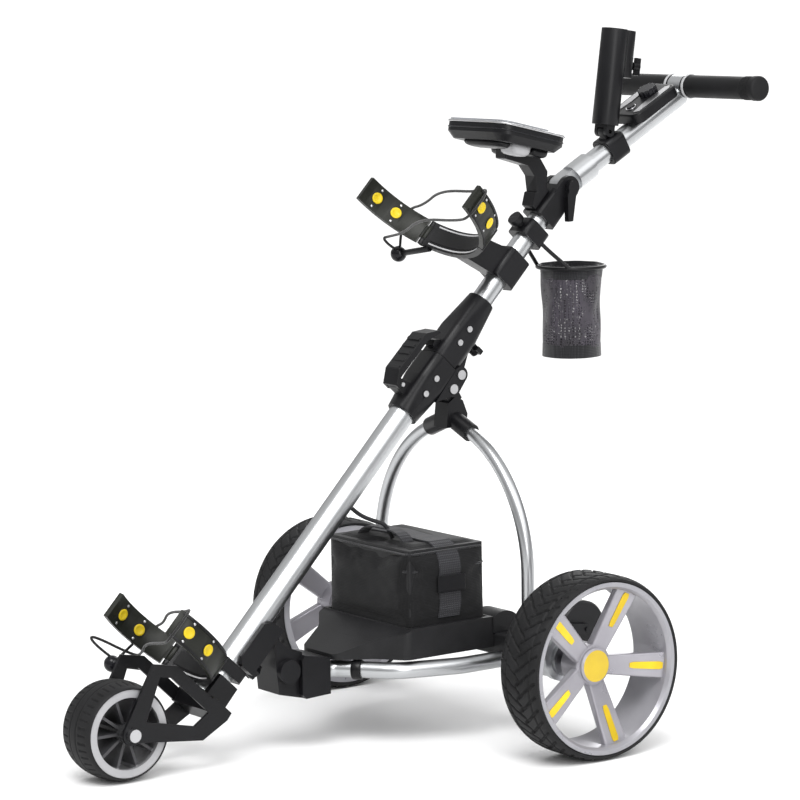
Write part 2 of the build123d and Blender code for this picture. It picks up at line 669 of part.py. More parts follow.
# ---- bag cradles ----
SADDLE_THICKNESS = 8.0
HINGE_BARREL = 5.0
LUG_PIN = 2.5
LUG_STEP = 4.0
LUG_LENGTH = 9.0
STUD_SHARES = (0.45, 0.78)
STUD_RADIUS = 8.5
FAR_STRAND = 27.0


def rim_point(centre_out, radius, angle):
    """A point (lateral, out) on a cradle's circle, 0 degrees to the left, 90 degrees outwards."""
    return radius * cos(radians(angle)), centre_out + radius * sin(radians(angle))


def lug_angle(radius, saddle_angle):
    """The pads swing on lugs that stand just past the ends of the saddle."""
    return degrees(LUG_STEP / (radius + SADDLE_THICKNESS / 2)) - saddle_angle


def cradle(station, centre_out, radius, saddle_angle, clamp_top, clamp_length, tube_radius, ball):
    """A clamp round the stem with a curved saddle, a hinge lug at each end and a bungee horn."""
    low = station - PAD_WIDTH / 2
    high = station + PAD_WIDTH / 2
    neck_top = centre_out - radius - 1
    lateral, out = rim_point(centre_out, radius + SADDLE_THICKNESS / 2, lug_angle(radius, saddle_angle))
    with BuildPart() as casting:
        with BuildSketch(stem_section(high)) as band:
            ring_sector(centre_out, radius, radius + SADDLE_THICKNESS, saddle_angle - 180, -saddle_angle)
        extrude(band.sketch, amount=PAD_WIDTH)
        with BuildSketch(stem_section(clamp_top)) as block:
            RectangleRounded(2 * tube_radius + 12, 2 * tube_radius + 12, 8)
        extrude(block.sketch, amount=clamp_length)
        with BuildSketch(stem_side(-15)) as neck:
            Polygon((clamp_top, 10), (clamp_top - clamp_length, 10), (low, neck_top), (high, neck_top), align=None)
        extrude(neck.sketch, amount=30)
        bored_through(stem_section(clamp_top + 60), tube_radius + FIT, clamp_length + 140)
        with BuildSketch(stem_section(high)) as lugs:
            with Locations((lateral, out), (-lateral, out)):
                Circle(HINGE_BARREL)
        extrude(lugs.sketch, amount=PAD_WIDTH)
        with BuildSketch(stem_section(high - LUG_LENGTH)) as gaps:
            with Locations((lateral, out), (-lateral, out)):
                Circle(HINGE_BARREL + 1)
        extrude(gaps.sketch, amount=PAD_WIDTH - 2 * LUG_LENGTH, mode=Mode.SUBTRACT)
        with BuildSketch(stem_section(high + 1)) as bores:
            with Locations((lateral, out), (-lateral, out)):
                Circle(LUG_PIN + 2 * FIT)
        extrude(bores.sketch, amount=PAD_WIDTH + 2, mode=Mode.SUBTRACT)
        root_x, root_out = rim_point(centre_out, radius + SADDLE_THICKNESS / 2, 186 + saddle_angle)
        horn_root = stem_at(root_x, low - 0.5, root_out)
        horn_run = stem_at(*ball) - horn_root
        with BuildSketch(Plane(origin=horn_root, z_dir=horn_run)) as horn:
            Circle(4.5)
        extrude(horn.sketch, amount=horn_run.length - BALL_RADIUS - 0.3)
    return casting


def pad(station, centre_out, radius, saddle_angle, tip_angle):
    """A curved arm with two studs, which swings on a pin between the saddle's lugs."""
    high = station + PAD_WIDTH / 2
    root_angle = lug_angle(radius, saddle_angle) + degrees(7 / radius)
    lateral, out = rim_point(centre_out, radius + SADDLE_THICKNESS / 2, lug_angle(radius, saddle_angle))
    with BuildPart() as arm:
        with BuildSketch(stem_section(high)) as band:
            ring_sector(centre_out, radius, radius + PAD_THICKNESS, root_angle, tip_angle)
        extrude(band.sketch, amount=PAD_WIDTH)
        with BuildSketch(stem_section(high - LUG_LENGTH - 0.3)) as barrel:
            with Locations((lateral, out)):
                Circle(HINGE_BARREL)
            Polygon(
                (lateral, out),
                rim_point(centre_out, radius + 1, root_angle + 2),
                rim_point(centre_out, radius + PAD_THICKNESS - 1, root_angle + 2),
                align=None,
            )
        extrude(barrel.sketch, amount=PAD_WIDTH - 2 * LUG_LENGTH - 0.6)
        with BuildSketch(stem_section(high)) as pin:
            with Locations((lateral, out)):
                Circle(LUG_PIN)
        extrude(pin.sketch, amount=PAD_WIDTH)
        for share in STUD_SHARES:
            angle = root_angle + share * (tip_angle - root_angle)
            spot = rim_point(centre_out, radius - 1, angle)
            stud_axis = X_AXIS * cos(radians(angle)) + STEM_OUT * sin(radians(angle))
            with BuildSketch(Plane(origin=stem_at(spot[0], station, spot[1]), x_dir=STEM_ALONG, z_dir=stud_axis)) as stud:
                Circle(STUD_RADIUS)
            extrude(stud.sketch, amount=PAD_THICKNESS + 2)
    return arm


def bungee(station, centre_out, radius, tip_angle, far_angle, ball):
    """An elastic loop from its ball, round the outside of the left pad's tip and back."""
    edge = PAD_WIDTH / 2 + 7
    tip_x, tip_out = rim_point(centre_out, radius + PAD_THICKNESS + 4, tip_angle - 6)
    far_x, far_out = rim_point(centre_out, radius + FAR_STRAND, far_angle)
    ball_centre = stem_at(*ball)
    far_low = stem_at(far_x, station - edge, far_out)
    far_high = stem_at(far_x, station + edge, far_out)
    route = [
        ball_centre + (far_low - ball_centre).normalized() * (BALL_RADIUS - 2),
        far_low,
        stem_at(tip_x, station - edge, tip_out),
        stem_at(tip_x, station + edge, tip_out),
        far_high,
        ball_centre + (far_high - ball_centre).normalized() * (BALL_RADIUS - 2),
    ]
    tip_bend = PAD_THICKNESS + 1
    radii = corner_radii(route)
    radii[1] = radii[2] = tip_bend
    with BuildPart() as elastic:
        with BuildLine() as loop:
            FilletPolyline(*route, radius=radii)
        with BuildSketch(Plane(origin=loop.line @ 0, z_dir=loop.line % 0)) as section:
            Circle(BUNGEE_RADIUS)
        sweep(section.sketch, path=loop.line)
        with Locations(ball_centre):
            Sphere(BALL_RADIUS)
    return elastic


LOWER_BALL = (-99.0, -724.0, 92.0)
UPPER_BALL = (-128.0, 30.0, 84.0)
LOWER_ARC = (LOWER_CRADLE_STATION, LOWER_CRADLE_CENTRE, LOWER_CRADLE_RADIUS)
UPPER_ARC = (UPPER_CRADLE_STATION, UPPER_CRADLE_CENTRE, UPPER_CRADLE_RADIUS)
LOWER_SADDLE_ANGLE, LOWER_TIP_ANGLE = 52, 30
UPPER_SADDLE_ANGLE, UPPER_TIP_ANGLE = 58, -4

write(cradle(*LOWER_ARC, LOWER_SADDLE_ANGLE, -635, 18, LOWER_TUBE_RADIUS, LOWER_BALL), "lower_cradle")
write(cradle(*UPPER_ARC, UPPER_SADDLE_ANGLE, 108, 48, UPPER_TUBE_RADIUS, UPPER_BALL), "upper_cradle")
write_pair(pad(*LOWER_ARC, LOWER_SADDLE_ANGLE, LOWER_TIP_ANGLE), "lower_pad")
write_pair(pad(*UPPER_ARC, UPPER_SADDLE_ANGLE, UPPER_TIP_ANGLE), "upper_pad")
write(bungee(*LOWER_ARC, LOWER_TIP_ANGLE, 205, LOWER_BALL), "lower_bungee")
write(bungee(*UPPER_ARC, UPPER_TIP_ANGLE, 215, UPPER_BALL), "upper_bungee")

# ---- battery tray, battery, bag and lead ----
TRAY_FLOOR = 130.0
TRAY_UNDER = 126.0
TRAY_HALF = 110.0
POCKET = (BAG_SIZE[0] + 1.0, BAG_SIZE[1] + 1.0)

with BuildPart() as tray:
    with BuildSketch(level(TRAY_UNDER)):
        with BuildLine():
            FilletPolyline((0, -246), (40, -246), (70, -196), (TRAY_HALF, -168), (TRAY_HALF, -15.8), (0, -15.8), radius=[16, 30, 14, 0.2])
            mirror(about=Plane.YZ)
        make_face()
    extrude(amount=44)
    with BuildSketch(side(-TRAY_HALF - 1)):
        Polygon((-250, 132), (-250, 180), (-160, 180), (-160, 168), align=None)
    extrude(amount=2 * TRAY_HALF + 2, mode=Mode.SUBTRACT)
    with BuildSketch(level(TRAY_FLOOR)):
        with Locations((0, BAG_CENTRE_Y)):
            Rectangle(*POCKET)
    extrude(amount=60, mode=Mode.SUBTRACT)
    for direction in (1, -1):
        with BuildSketch(side(direction * 66)):
            with BuildLine():
                Polyline((32, BEAM_TOP + 0.2), (-17, BEAM_TOP + 0.2), (-17, 168))
                ThreePointArc((-17, 168), (10, 176), (32, 160))
                Line((32, 160), (32, BEAM_TOP + 0.2))
            make_face()
        extrude(amount=direction * 46)
write(tray, "battery_tray")

with BuildPart() as battery:
    with BuildSketch(level(BAG_BOTTOM + 3)):
        with Locations((0, BAG_CENTRE_Y)):
            RectangleRounded(BATTERY_SIZE[0], BATTERY_SIZE[1], 3)
    extrude(amount=BATTERY_SIZE[2])
write(battery, "battery")

with BuildPart() as bag:
    with BuildSketch(level(BAG_BOTTOM)):
        with Locations((0, BAG_CENTRE_Y)):
            RectangleRounded(BAG_SIZE[0], BAG_SIZE[1], 12)
    extrude(amount=BAG_SIZE[2])
    with BuildSketch(level(BAG_BOTTOM + 2.8)):
        with Locations((0, BAG_CENTRE_Y)):
            RectangleRounded(BATTERY_SIZE[0] + 0.5, BATTERY_SIZE[1] + 0.5, 3.2)
    extrude(amount=BATTERY_SIZE[2] + 0.5, mode=Mode.SUBTRACT)
write(bag, "battery_bag")

LEAD_RADIUS = 3.0
LEAD_STATION = -345.0
lead_exit = stem_at(0, LEAD_STATION, -LOWER_TUBE_RADIUS - 0.2)
lead_route = [
    lead_exit,
    lead_exit - STEM_OUT * 18,
    place(6, -150, 311),
    place(14, -132, 305),
    place(16, -124, BAG_BOTTOM + BAG_SIZE[2] + 1.4),
]
with BuildPart() as battery_lead:
    with BuildLine() as lead_path:
        FilletPolyline(*lead_route, radius=corner_radii(lead_route))
    with BuildSketch(Plane(origin=lead_path.line @ 0, z_dir=lead_path.line % 0)):
        Circle(LEAD_RADIUS)
    sweep(path=lead_path.line)
write(battery_lead, "battery_lead")

# ---- handle joint, handle, grips and controls ----
JOINT_EAR = 17.0
JOINT_TONGUE = 11.8

with BuildPart() as handle_joint:
    with BuildSketch(stem_section(222)):
        RectangleRounded(42, 42, 8)
    extrude(amount=46)
    with BuildSketch(stem_side(-21)):
        with Locations((HANDLE_BEND_STATION, 0)):
            Circle(JOINT_EAR)
        Polygon((215, -17), (HANDLE_BEND_STATION, -17), (HANDLE_BEND_STATION, 17), (215, 17), align=None)
    extrude(amount=42)
    with BuildSketch(stem_side(-JOINT_TONGUE - 0.2)):
        with Locations((HANDLE_BEND_STATION, 0)):
            Circle(JOINT_EAR + 2)
        Polygon((HANDLE_BEND_STATION, -19), (300, -19), (300, 19), (HANDLE_BEND_STATION, 19), align=None)
    extrude(amount=2 * JOINT_TONGUE + 0.4, mode=Mode.SUBTRACT)
    bored_through(stem_section(UPPER_TUBE_TOP + 0.1), UPPER_TUBE_RADIUS + FIT, 60)
    with BuildSketch(stem_side(-40)):
        with Locations((HANDLE_BEND_STATION, 0)):
            Circle(PIN_RADIUS + FIT)
    extrude(amount=80, mode=Mode.SUBTRACT)
write(handle_joint, "handle_joint")

with BuildPart() as handle_tube:
    with BuildSketch(handle_section(HANDLE_LENGTH)):
        Circle(UPPER_TUBE_RADIUS)
    extrude(amount=HANDLE_LENGTH - 32)
    with BuildSketch(side(-GRIP_END + 6)):
        with Locations(T_BAR_CENTRE):
            Circle(T_BAR_RADIUS)
    extrude(amount=2 * (GRIP_END - 6))
    with BuildSketch(side(-14)):
        with Locations(T_BAR_CENTRE):
            Circle(17.5)
    extrude(amount=28)
    with BuildSketch(handle_section(60)):
        Circle(20)
    extrude(amount=36)
    with BuildSketch(handle_side(-JOINT_TONGUE)):
        Circle(JOINT_EAR - 1)
        Polygon((0, -16), (30, -16), (30, 16), (0, 16), align=None)
        Circle(PIN_RADIUS + 2 * FIT, mode=Mode.SUBTRACT)
    extrude(amount=2 * JOINT_TONGUE)
write(handle_tube, "handle_tube")

with BuildPart() as handle_lever:
    with BuildSketch(handle_side(-24)):
        Circle(PIN_RADIUS - FIT)
    extrude(amount=48)
    with BuildSketch(handle_side(21.2)):
        Circle(10)
        Polygon((0, -9), (-26, -42), (-34, -38), (-16, -4), (0, 9), align=None)
    extrude(amount=9)
    with BuildSketch(handle_side(-21.2)):
        Circle(8)
    extrude(amount=-5)
write(handle_lever, "handle_lever")

with BuildPart() as grip:
    with BuildSketch(side(16.6)):
        with Locations(T_BAR_CENTRE):
            Circle(GRIP_RADIUS)
            Circle(T_BAR_RADIUS + FIT, mode=Mode.SUBTRACT)
    extrude(amount=148.6)
    with BuildSketch(side(165.2)):
        with Locations(T_BAR_CENTRE):
            Circle(18.5)
    extrude(amount=GRIP_END - 165.2)
    fillet(grip.edges().filter_by(GeomType.CIRCLE).group_by(Axis.X)[-1], 5)
    with BuildSketch(side(160)):
        with Locations(T_BAR_CENTRE):
            Circle(T_BAR_RADIUS + FIT)
    extrude(amount=GRIP_END - 5.8 - 160, mode=Mode.SUBTRACT)
write_pair(grip, "grip")

CONTROL_FOOT, CONTROL_TOP = 150.0, 242.0
CONTROL_BASE, CONTROL_FACE = 16.2, 32.0
DIAL_STATION = 212.0
BUTTON_STATION = 172.0

with BuildPart() as control:
    with BuildSketch(handle_face(CONTROL_BASE)):
        with Locations((0, (CONTROL_FOOT + CONTROL_TOP) / 2)):
            RectangleRounded(70, CONTROL_TOP - CONTROL_FOOT, 14)
    extrude(amount=CONTROL_FACE - CONTROL_BASE)
    top_edges = control.faces().sort_by(Axis(place(0, 0, 0), HANDLE_OUT))[-1].edges()
    fillet(top_edges, 3)
    with BuildSketch(handle_face(CONTROL_FACE - 6)):
        with Locations((0, DIAL_STATION)):
            Circle(4.1)
        with Locations((0, BUTTON_STATION)):
            Circle(6.1)
    extrude(amount=10, mode=Mode.SUBTRACT)
write(control, "control_housing")

with BuildPart() as speed_dial:
    with BuildSketch(handle_face(CONTROL_FACE - 5.5)):
        with Locations((0, DIAL_STATION)):
            Circle(4)
    extrude(amount=6)
    with BuildSketch(handle_face(CONTROL_FACE + 0.3)):
        with Locations((0, DIAL_STATION)):
            Circle(13)
            with PolarLocations(13, 12):
                Circle(1.6)
    extrude(amount=10)
write(speed_dial, "speed_dial")

with BuildPart() as power_button:
    with BuildSketch(handle_face(CONTROL_FACE - 3)):
        with Locations((0, BUTTON_STATION)):
            Circle(6)
    extrude(amount=6)
write(power_button, "power_button")

# ---- umbrella holder: a clamp on the handle, a tilting cup and its knob ----
UMBRELLA_BORE = 15.0
UMBRELLA_OUTER = 20.0
UMBRELLA_FOOT, UMBRELLA_TOP = 10.0, 153.0
UMBRELLA_OFFSET = place(0, *UMBRELLA_PIVOT) - handle_at(0, 0, 0)
UMBRELLA_ALONG = UMBRELLA_OFFSET.dot(HANDLE_ALONG)
UMBRELLA_OUT = UMBRELLA_OFFSET.dot(HANDLE_OUT)
CUP_AXIS = Vector(0, sin(radians(UMBRELLA_LEAN)), cos(radians(UMBRELLA_LEAN)))
CUP_REAR = Vector(0, cos(radians(UMBRELLA_LEAN)), -sin(radians(UMBRELLA_LEAN)))
LOBE_OFFSET = 24.0
LOBE_RADIUS = 13.0


def cup_side(x=0.0):
    """The umbrella cup seen from the side: local x runs aft of its axis, local y up it."""
    return Plane(origin=place(x, *UMBRELLA_PIVOT), x_dir=CUP_REAR, z_dir=X_AXIS)


def cup_section(height):
    return Plane(origin=place(0, *UMBRELLA_PIVOT) + CUP_AXIS * height, x_dir=X_AXIS, z_dir=CUP_AXIS)


with BuildPart() as umbrella_clamp:
    with BuildSketch(handle_section(UMBRELLA_ALONG + 17)):
        RectangleRounded(39, 39, 9)
    extrude(amount=34)
    with BuildSketch(handle_side(-7)):
        with Locations((UMBRELLA_ALONG, UMBRELLA_OUT)):
            Circle(8)
        Polygon((UMBRELLA_ALONG - 8, 18), (UMBRELLA_ALONG - 8, UMBRELLA_OUT),
                (UMBRELLA_ALONG + 8, UMBRELLA_OUT), (UMBRELLA_ALONG + 8, 18), align=None)
    extrude(amount=14)
    bored_through(handle_section(UMBRELLA_ALONG + 20), UPPER_TUBE_RADIUS + FIT, 40)
    with BuildSketch(handle_side(-20)):
        with Locations((UMBRELLA_ALONG, UMBRELLA_OUT)):
            Circle(3 + FIT)
    extrude(amount=40, mode=Mode.SUBTRACT)
write(umbrella_clamp, "umbrella_clamp")

with BuildPart() as umbrella_holder:
    with BuildSketch(cup_section(UMBRELLA_FOOT)):
        Circle(UMBRELLA_OUTER)
    extrude(amount=UMBRELLA_TOP - UMBRELLA_FOOT)
    with BuildSketch(cup_section(UMBRELLA_TOP - 70)):
        with Locations((0, LOBE_OFFSET)):
            Circle(LOBE_RADIUS)
        with Locations((0, LOBE_OFFSET / 2)):
            Rectangle(20, LOBE_OFFSET)
    extrude(amount=70)
    with BuildSketch(cup_side(-14)):
        Circle(8)
        Rectangle(16, 24, align=(Align.CENTER, Align.MIN))
    extrude(amount=28)
    with BuildSketch(cup_side(-7.3)):
        Circle(9.5)
    extrude(amount=14.6, mode=Mode.SUBTRACT)
    bored_through(cup_section(UMBRELLA_FOOT + 18), UMBRELLA_BORE, 140)
    with BuildSketch(cup_side(-20)):
        Circle(3 + FIT)
    extrude(amount=40, mode=Mode.SUBTRACT)
    with BuildSketch(Plane(origin=place(0, *UMBRELLA_PIVOT) + CUP_AXIS * 102 + CUP_REAR * 16, x_dir=X_AXIS, z_dir=CUP_REAR)):
        Circle(3 + FIT)
    extrude(amount=30, mode=Mode.SUBTRACT)
write(umbrella_holder, "umbrella_holder")

with BuildPart() as umbrella_knob:
    knob_root = place(0, *UMBRELLA_PIVOT) + CUP_AXIS * 102 + CUP_REAR * 18
    with BuildSketch(Plane(origin=knob_root, x_dir=X_AXIS, z_dir=CUP_REAR)):
        Circle(3)
    extrude(amount=26)
    with BuildSketch(Plane(origin=knob_root + CUP_REAR * 22, x_dir=X_AXIS, z_dir=CUP_REAR)):
        Circle(6)
    extrude(amount=12)
    with BuildSketch(Plane(origin=knob_root + CUP_REAR * 27, x_dir=X_AXIS, z_dir=CUP_REAR)):
        Rectangle(6, 26)
    extrude(amount=9)
write(umbrella_knob, "umbrella_knob")

# ---- score card console on an arm in front of the handle joint ----
CONSOLE_THICKNESS = 26.0
LID_THICKNESS = 3.0
CONSOLE_UP = Vector(0, -sin(radians(CONSOLE_TILT)), cos(radians(CONSOLE_TILT)))
CONSOLE_AFT = Vector(0, cos(radians(CONSOLE_TILT)), sin(radians(CONSOLE_TILT)))


def console_level(lift):
    """A plane parallel to the console: local x is lateral, local y runs aft."""
    return Plane(origin=place(0, *CONSOLE_CENTRE) + CONSOLE_UP * lift, x_dir=X_AXIS, z_dir=CONSOLE_UP)


def console_side(x=0.0):
    return Plane(origin=place(x, *CONSOLE_CENTRE), x_dir=CONSOLE_AFT, z_dir=X_AXIS)


LID_HINGE = (32.4, 2.5)
LID_BARREL_RADIUS = 2.1
LID_PIN_RADIUS = 1.2
LID_BARREL_HALF = 30.0
LID_EAR_WIDTH = 5.0


with BuildPart() as console_tray:
    with BuildSketch(console_level(-CONSOLE_THICKNESS)):
        RectangleRounded(CONSOLE_SIZE[0], CONSOLE_SIZE[1], 24)
    extrude(amount=CONSOLE_THICKNESS)
    bottom_edges = console_tray.faces().sort_by(Axis(place(0, 0, 0), CONSOLE_UP))[0].edges()
    chamfer(bottom_edges, 10)
    with BuildSketch(console_level(-8)):
        with Locations((0, -12)):
            RectangleRounded(CONSOLE_SIZE[0] - 16, CONSOLE_SIZE[1] - 44, 10)
    extrude(amount=10, mode=Mode.SUBTRACT)
    with BuildSketch(console_level(-18)):
        with Locations((-42, 46), (0, 46), (42, 46)):
            RectangleRounded(32, 20, 8)
    extrude(amount=20, mode=Mode.SUBTRACT)
    for direction in (1, -1):
        with BuildSketch(console_side(direction * (LID_BARREL_HALF + 0.3))):
            with Locations(LID_HINGE):
                Circle(LID_BARREL_RADIUS)
            with Locations((LID_HINGE[0], LID_HINGE[1] / 2 - 0.5)):
                Rectangle(2 * LID_BARREL_RADIUS, LID_HINGE[1] + 1)
            with Locations(LID_HINGE):
                Circle(LID_PIN_RADIUS + FIT, mode=Mode.SUBTRACT)
        extrude(amount=direction * LID_EAR_WIDTH)
write(console_tray, "console_tray")

with BuildPart() as console_lid:
    with BuildSketch(console_level(0.3)):
        with Locations((0, -14)):
            RectangleRounded(CONSOLE_SIZE[0] - 8, CONSOLE_SIZE[1] - 36, 14)
    extrude(amount=LID_THICKNESS)
    with BuildSketch(console_side(-LID_BARREL_HALF)):
        with Locations(LID_HINGE):
            Circle(LID_BARREL_RADIUS)
        with Locations((LID_HINGE[0] - 2, LID_HINGE[1] - 0.7)):
            Rectangle(4, 2)
    extrude(amount=2 * LID_BARREL_HALF)
    with BuildSketch(console_side(-LID_BARREL_HALF - LID_EAR_WIDTH)):
        with Locations(LID_HINGE):
            Circle(LID_PIN_RADIUS)
    extrude(amount=2 * (LID_BARREL_HALF + LID_EAR_WIDTH))
write(console_lid, "console_lid")

CONSOLE_ARM_STATION = 197.0
with BuildPart() as console_bracket:
    with BuildSketch(side(-13)):
        Polygon((150, 758), (168, 771), (170, 796), (150, 826), (92, 832), (92, 818), (134, 806), (146, 790), align=None)
    extrude(amount=26)
    with BuildSketch(stem_side(-13)):
        Polygon((178, 21.1), (216, 21.1), (216, 30), (196, 40), (178, 30), align=None)
    extrude(amount=26)
    with BuildSketch(console_level(-CONSOLE_THICKNESS - 0.1)):
        Rectangle(400, 400)
    extrude(amount=80, mode=Mode.SUBTRACT)
write(console_bracket, "console_bracket")

# ---- mesh pouch on a ring behind the stem ----
POUCH_CLAMP_STATION = 150.0
RING_RADIUS = 50.0
RING_WIRE = 3.0

with BuildPart() as pouch_holder:
    with BuildSketch(stem_section(POUCH_CLAMP_STATION + 13)):
        RectangleRounded(43, 43, 9)
    extrude(amount=26)
    with BuildSketch(Plane(origin=stem_at(0, POUCH_CLAMP_STATION, 15), x_dir=X_AXIS, z_dir=STEM_OUT)):
        Circle(6)
    extrude(amount=18)
    with BuildSketch(Plane(origin=stem_at(0, POUCH_CLAMP_STATION, 28), x_dir=X_AXIS, z_dir=STEM_OUT)):
        Circle(11)
    extrude(amount=9)
    with BuildSketch(across(POUCH_CENTRE_Y, POUCH_RING_Z)):
        with Locations((RING_RADIUS, 0)):
            Circle(RING_WIRE)
    revolve(axis=Axis(place(0, POUCH_CENTRE_Y, 0), (0, 0, 1)))
    for direction in (1, -1):
        with BuildLine() as arm_path:
            FilletPolyline(
                stem_at(direction * 17, POUCH_CLAMP_STATION - 4, -12),
                stem_at(direction * 26, POUCH_CLAMP_STATION - 6, -34),
                place(direction * 38, POUCH_CENTRE_Y - 32.5, POUCH_RING_Z),
                radius=12,
            )
        with BuildSketch(Plane(origin=arm_path.line @ 0, z_dir=arm_path.line % 0)):
            Circle(RING_WIRE)
        sweep(path=arm_path.line)
    bored_through(stem_section(POUCH_CLAMP_STATION + 20), UPPER_TUBE_RADIUS + FIT, 40)
write(pouch_holder, "pouch_holder")

with BuildPart() as pouch:
    with BuildSketch(across(POUCH_CENTRE_Y, POUCH_RING_Z)):
        Polygon((0, -134), (43, -134), (43, -118), (46.5, 4), (44.5, 4), (41, -118), (39, -129), (0, -129), align=None)
    revolve(axis=Axis(place(0, POUCH_CENTRE_Y, 0), (0, 0, 1)))
write(pouch, "mesh_pouch")
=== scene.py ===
import json
from math import cos, pi, radians, sin

import bmesh
import bpy
from mathutils import Matrix, Vector, noise

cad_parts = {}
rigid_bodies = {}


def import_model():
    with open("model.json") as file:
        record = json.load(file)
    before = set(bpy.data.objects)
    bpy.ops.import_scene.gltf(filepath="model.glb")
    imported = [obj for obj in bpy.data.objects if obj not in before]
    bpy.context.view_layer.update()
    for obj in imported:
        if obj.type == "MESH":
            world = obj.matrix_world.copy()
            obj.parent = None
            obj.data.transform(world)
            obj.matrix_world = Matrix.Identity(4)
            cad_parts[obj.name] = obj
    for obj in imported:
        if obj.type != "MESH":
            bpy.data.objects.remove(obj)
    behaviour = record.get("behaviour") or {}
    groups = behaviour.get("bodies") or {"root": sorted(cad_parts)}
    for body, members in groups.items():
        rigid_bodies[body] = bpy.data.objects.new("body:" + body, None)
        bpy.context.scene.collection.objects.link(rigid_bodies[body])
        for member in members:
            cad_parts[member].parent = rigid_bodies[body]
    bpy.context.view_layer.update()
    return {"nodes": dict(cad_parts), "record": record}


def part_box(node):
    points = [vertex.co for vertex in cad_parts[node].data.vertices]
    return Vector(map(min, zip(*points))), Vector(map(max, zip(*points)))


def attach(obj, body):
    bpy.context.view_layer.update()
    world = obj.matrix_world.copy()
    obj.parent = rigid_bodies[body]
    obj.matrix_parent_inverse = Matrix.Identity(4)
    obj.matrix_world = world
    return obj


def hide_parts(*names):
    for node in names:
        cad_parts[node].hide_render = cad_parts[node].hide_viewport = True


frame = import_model()

MM = 0.001
REAR_AXLE_Y = 97.25
STEM_ANGLE = radians(46.3)
STEM_DATUM = (39.0, 597.0)
X_AXIS = Vector((1, 0, 0))
STEM_ALONG = Vector((0, cos(STEM_ANGLE), sin(STEM_ANGLE)))
STEM_OUT = Vector((0, -sin(STEM_ANGLE), cos(STEM_ANGLE)))
JOINTS = {joint["name"]: joint for joint in frame["record"]["behaviour"]["joints"]}


# ---- places ----
def place(x, y, z):
    """A point in metres, given in millimetres from the ground below the rear axle."""
    return Vector((x, REAR_AXLE_Y + y, z)) * MM


def stem_at(x, along, out):
    return place(x, *STEM_DATUM) + (STEM_ALONG * along + STEM_OUT * out) * MM


def joint_at(name):
    return Vector(JOINTS[name]["pos_m"])


def span(node):
    low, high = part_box(node)
    return Vector(low), Vector(high)


# ---- materials ----
class Nodes:
    """A material being wired up, with its shader and its object coordinates at hand."""

    def __init__(self, name):
        self.material = bpy.data.materials.new(name)
        self.material.use_nodes = True
        self.tree = self.material.node_tree
        self.shader = self.tree.nodes["Principled BSDF"]
        self.coordinates = self.add("ShaderNodeTexCoord").outputs["Object"]

    def add(self, kind, **settings):
        node = self.tree.nodes.new(kind)
        for key, value in settings.items():
            setattr(node, key, value)
        return node

    def link(self, source, target):
        self.tree.links.new(source, target)

    def stretched(self, scale):
        mapping = self.add("ShaderNodeMapping")
        mapping.inputs["Scale"].default_value = scale
        self.link(self.coordinates, mapping.inputs["Vector"])
        return mapping.outputs["Vector"]

    def noise(self, scale, detail=3.0, stretch=(1, 1, 1)):
        texture = self.add("ShaderNodeTexNoise")
        texture.inputs["Scale"].default_value = scale
        texture.inputs["Detail"].default_value = detail
        self.link(self.stretched(stretch), texture.inputs["Vector"])
        return texture.outputs["Fac"]

    def ramp(self, value, stops):
        ramp = self.add("ShaderNodeValToRGB")
        elements = ramp.color_ramp.elements
        while len(elements) < len(stops):
            elements.new(0.5)
        for element, (position, colour) in zip(elements, stops):
            element.position = position
            element.color = (*colour, 1)
        self.link(value, ramp.inputs["Fac"])
        return ramp.outputs["Color"]

    def math(self, operation, first, second):
        node = self.add("ShaderNodeMath", operation=operation)
        for socket, value in zip(node.inputs, (first, second)):
            if isinstance(value, (int, float)):
                socket.default_value = value
            else:
                self.link(value, socket)
        return node.outputs["Value"]

    def set(self, **values):
        for key, value in values.items():
            self.shader.inputs[key.replace("_", " ").title().replace("Ior", "IOR")].default_value = value

    def bump(self, height, distance, strength=1.0):
        node = self.add("ShaderNodeBump")
        node.inputs["Distance"].default_value = distance
        node.inputs["Strength"].default_value = strength
        self.link(height, node.inputs["Height"])
        self.link(node.outputs["Normal"], self.shader.inputs["Normal"])

    def base(self, colour):
        self.link(colour, self.shader.inputs["Base Color"])

    def rough(self, value, low, high):
        spread = self.add("ShaderNodeMapRange")
        spread.inputs["To Min"].default_value = low
        spread.inputs["To Max"].default_value = high
        self.link(value, spread.inputs["Value"])
        self.link(spread.outputs["Result"], self.shader.inputs["Roughness"])


def shaded(colour, factor):
    return tuple(min(1.0, channel * factor) for channel in colour)


def satin_metal(name, colour, stretch):
    """Anodised or painted metal with faint lines along the tube and small colour drift."""
    build = Nodes(name)
    lines = build.noise(60, 4, stretch)
    drift = build.noise(7, 2)
    build.base(build.ramp(drift, [(0.3, shaded(colour, 0.93)), (0.7, shaded(colour, 1.05))]))
    build.set(metallic=1.0)
    build.rough(lines, 0.24, 0.38)
    build.bump(lines, 0.000006)
    return build.material


def moulded(name, colour, low, high, grain=900, depth=0.00008):
    """Moulded plastic: a fine grain, a slight drift in colour and polished spots."""
    build = Nodes(name)
    speckle = build.noise(grain, 2)
    drift = build.noise(14, 3)
    build.base(build.ramp(drift, [(0.3, shaded(colour, 0.75)), (0.72, shaded(colour, 1.35))]))
    build.rough(drift, low, high)
    build.set(specular_ior_level=0.22)
    build.bump(speckle, depth)
    return build.material


def rubber(name, colour):
    build = Nodes(name)
    dust = build.noise(30, 5)
    build.base(build.ramp(dust, [(0.4, colour), (0.75, shaded(colour, 1.9))]))
    build.rough(dust, 0.5, 0.75)
    build.set(specular_ior_level=0.25)
    build.bump(build.noise(700, 3), 0.00012)
    return build.material


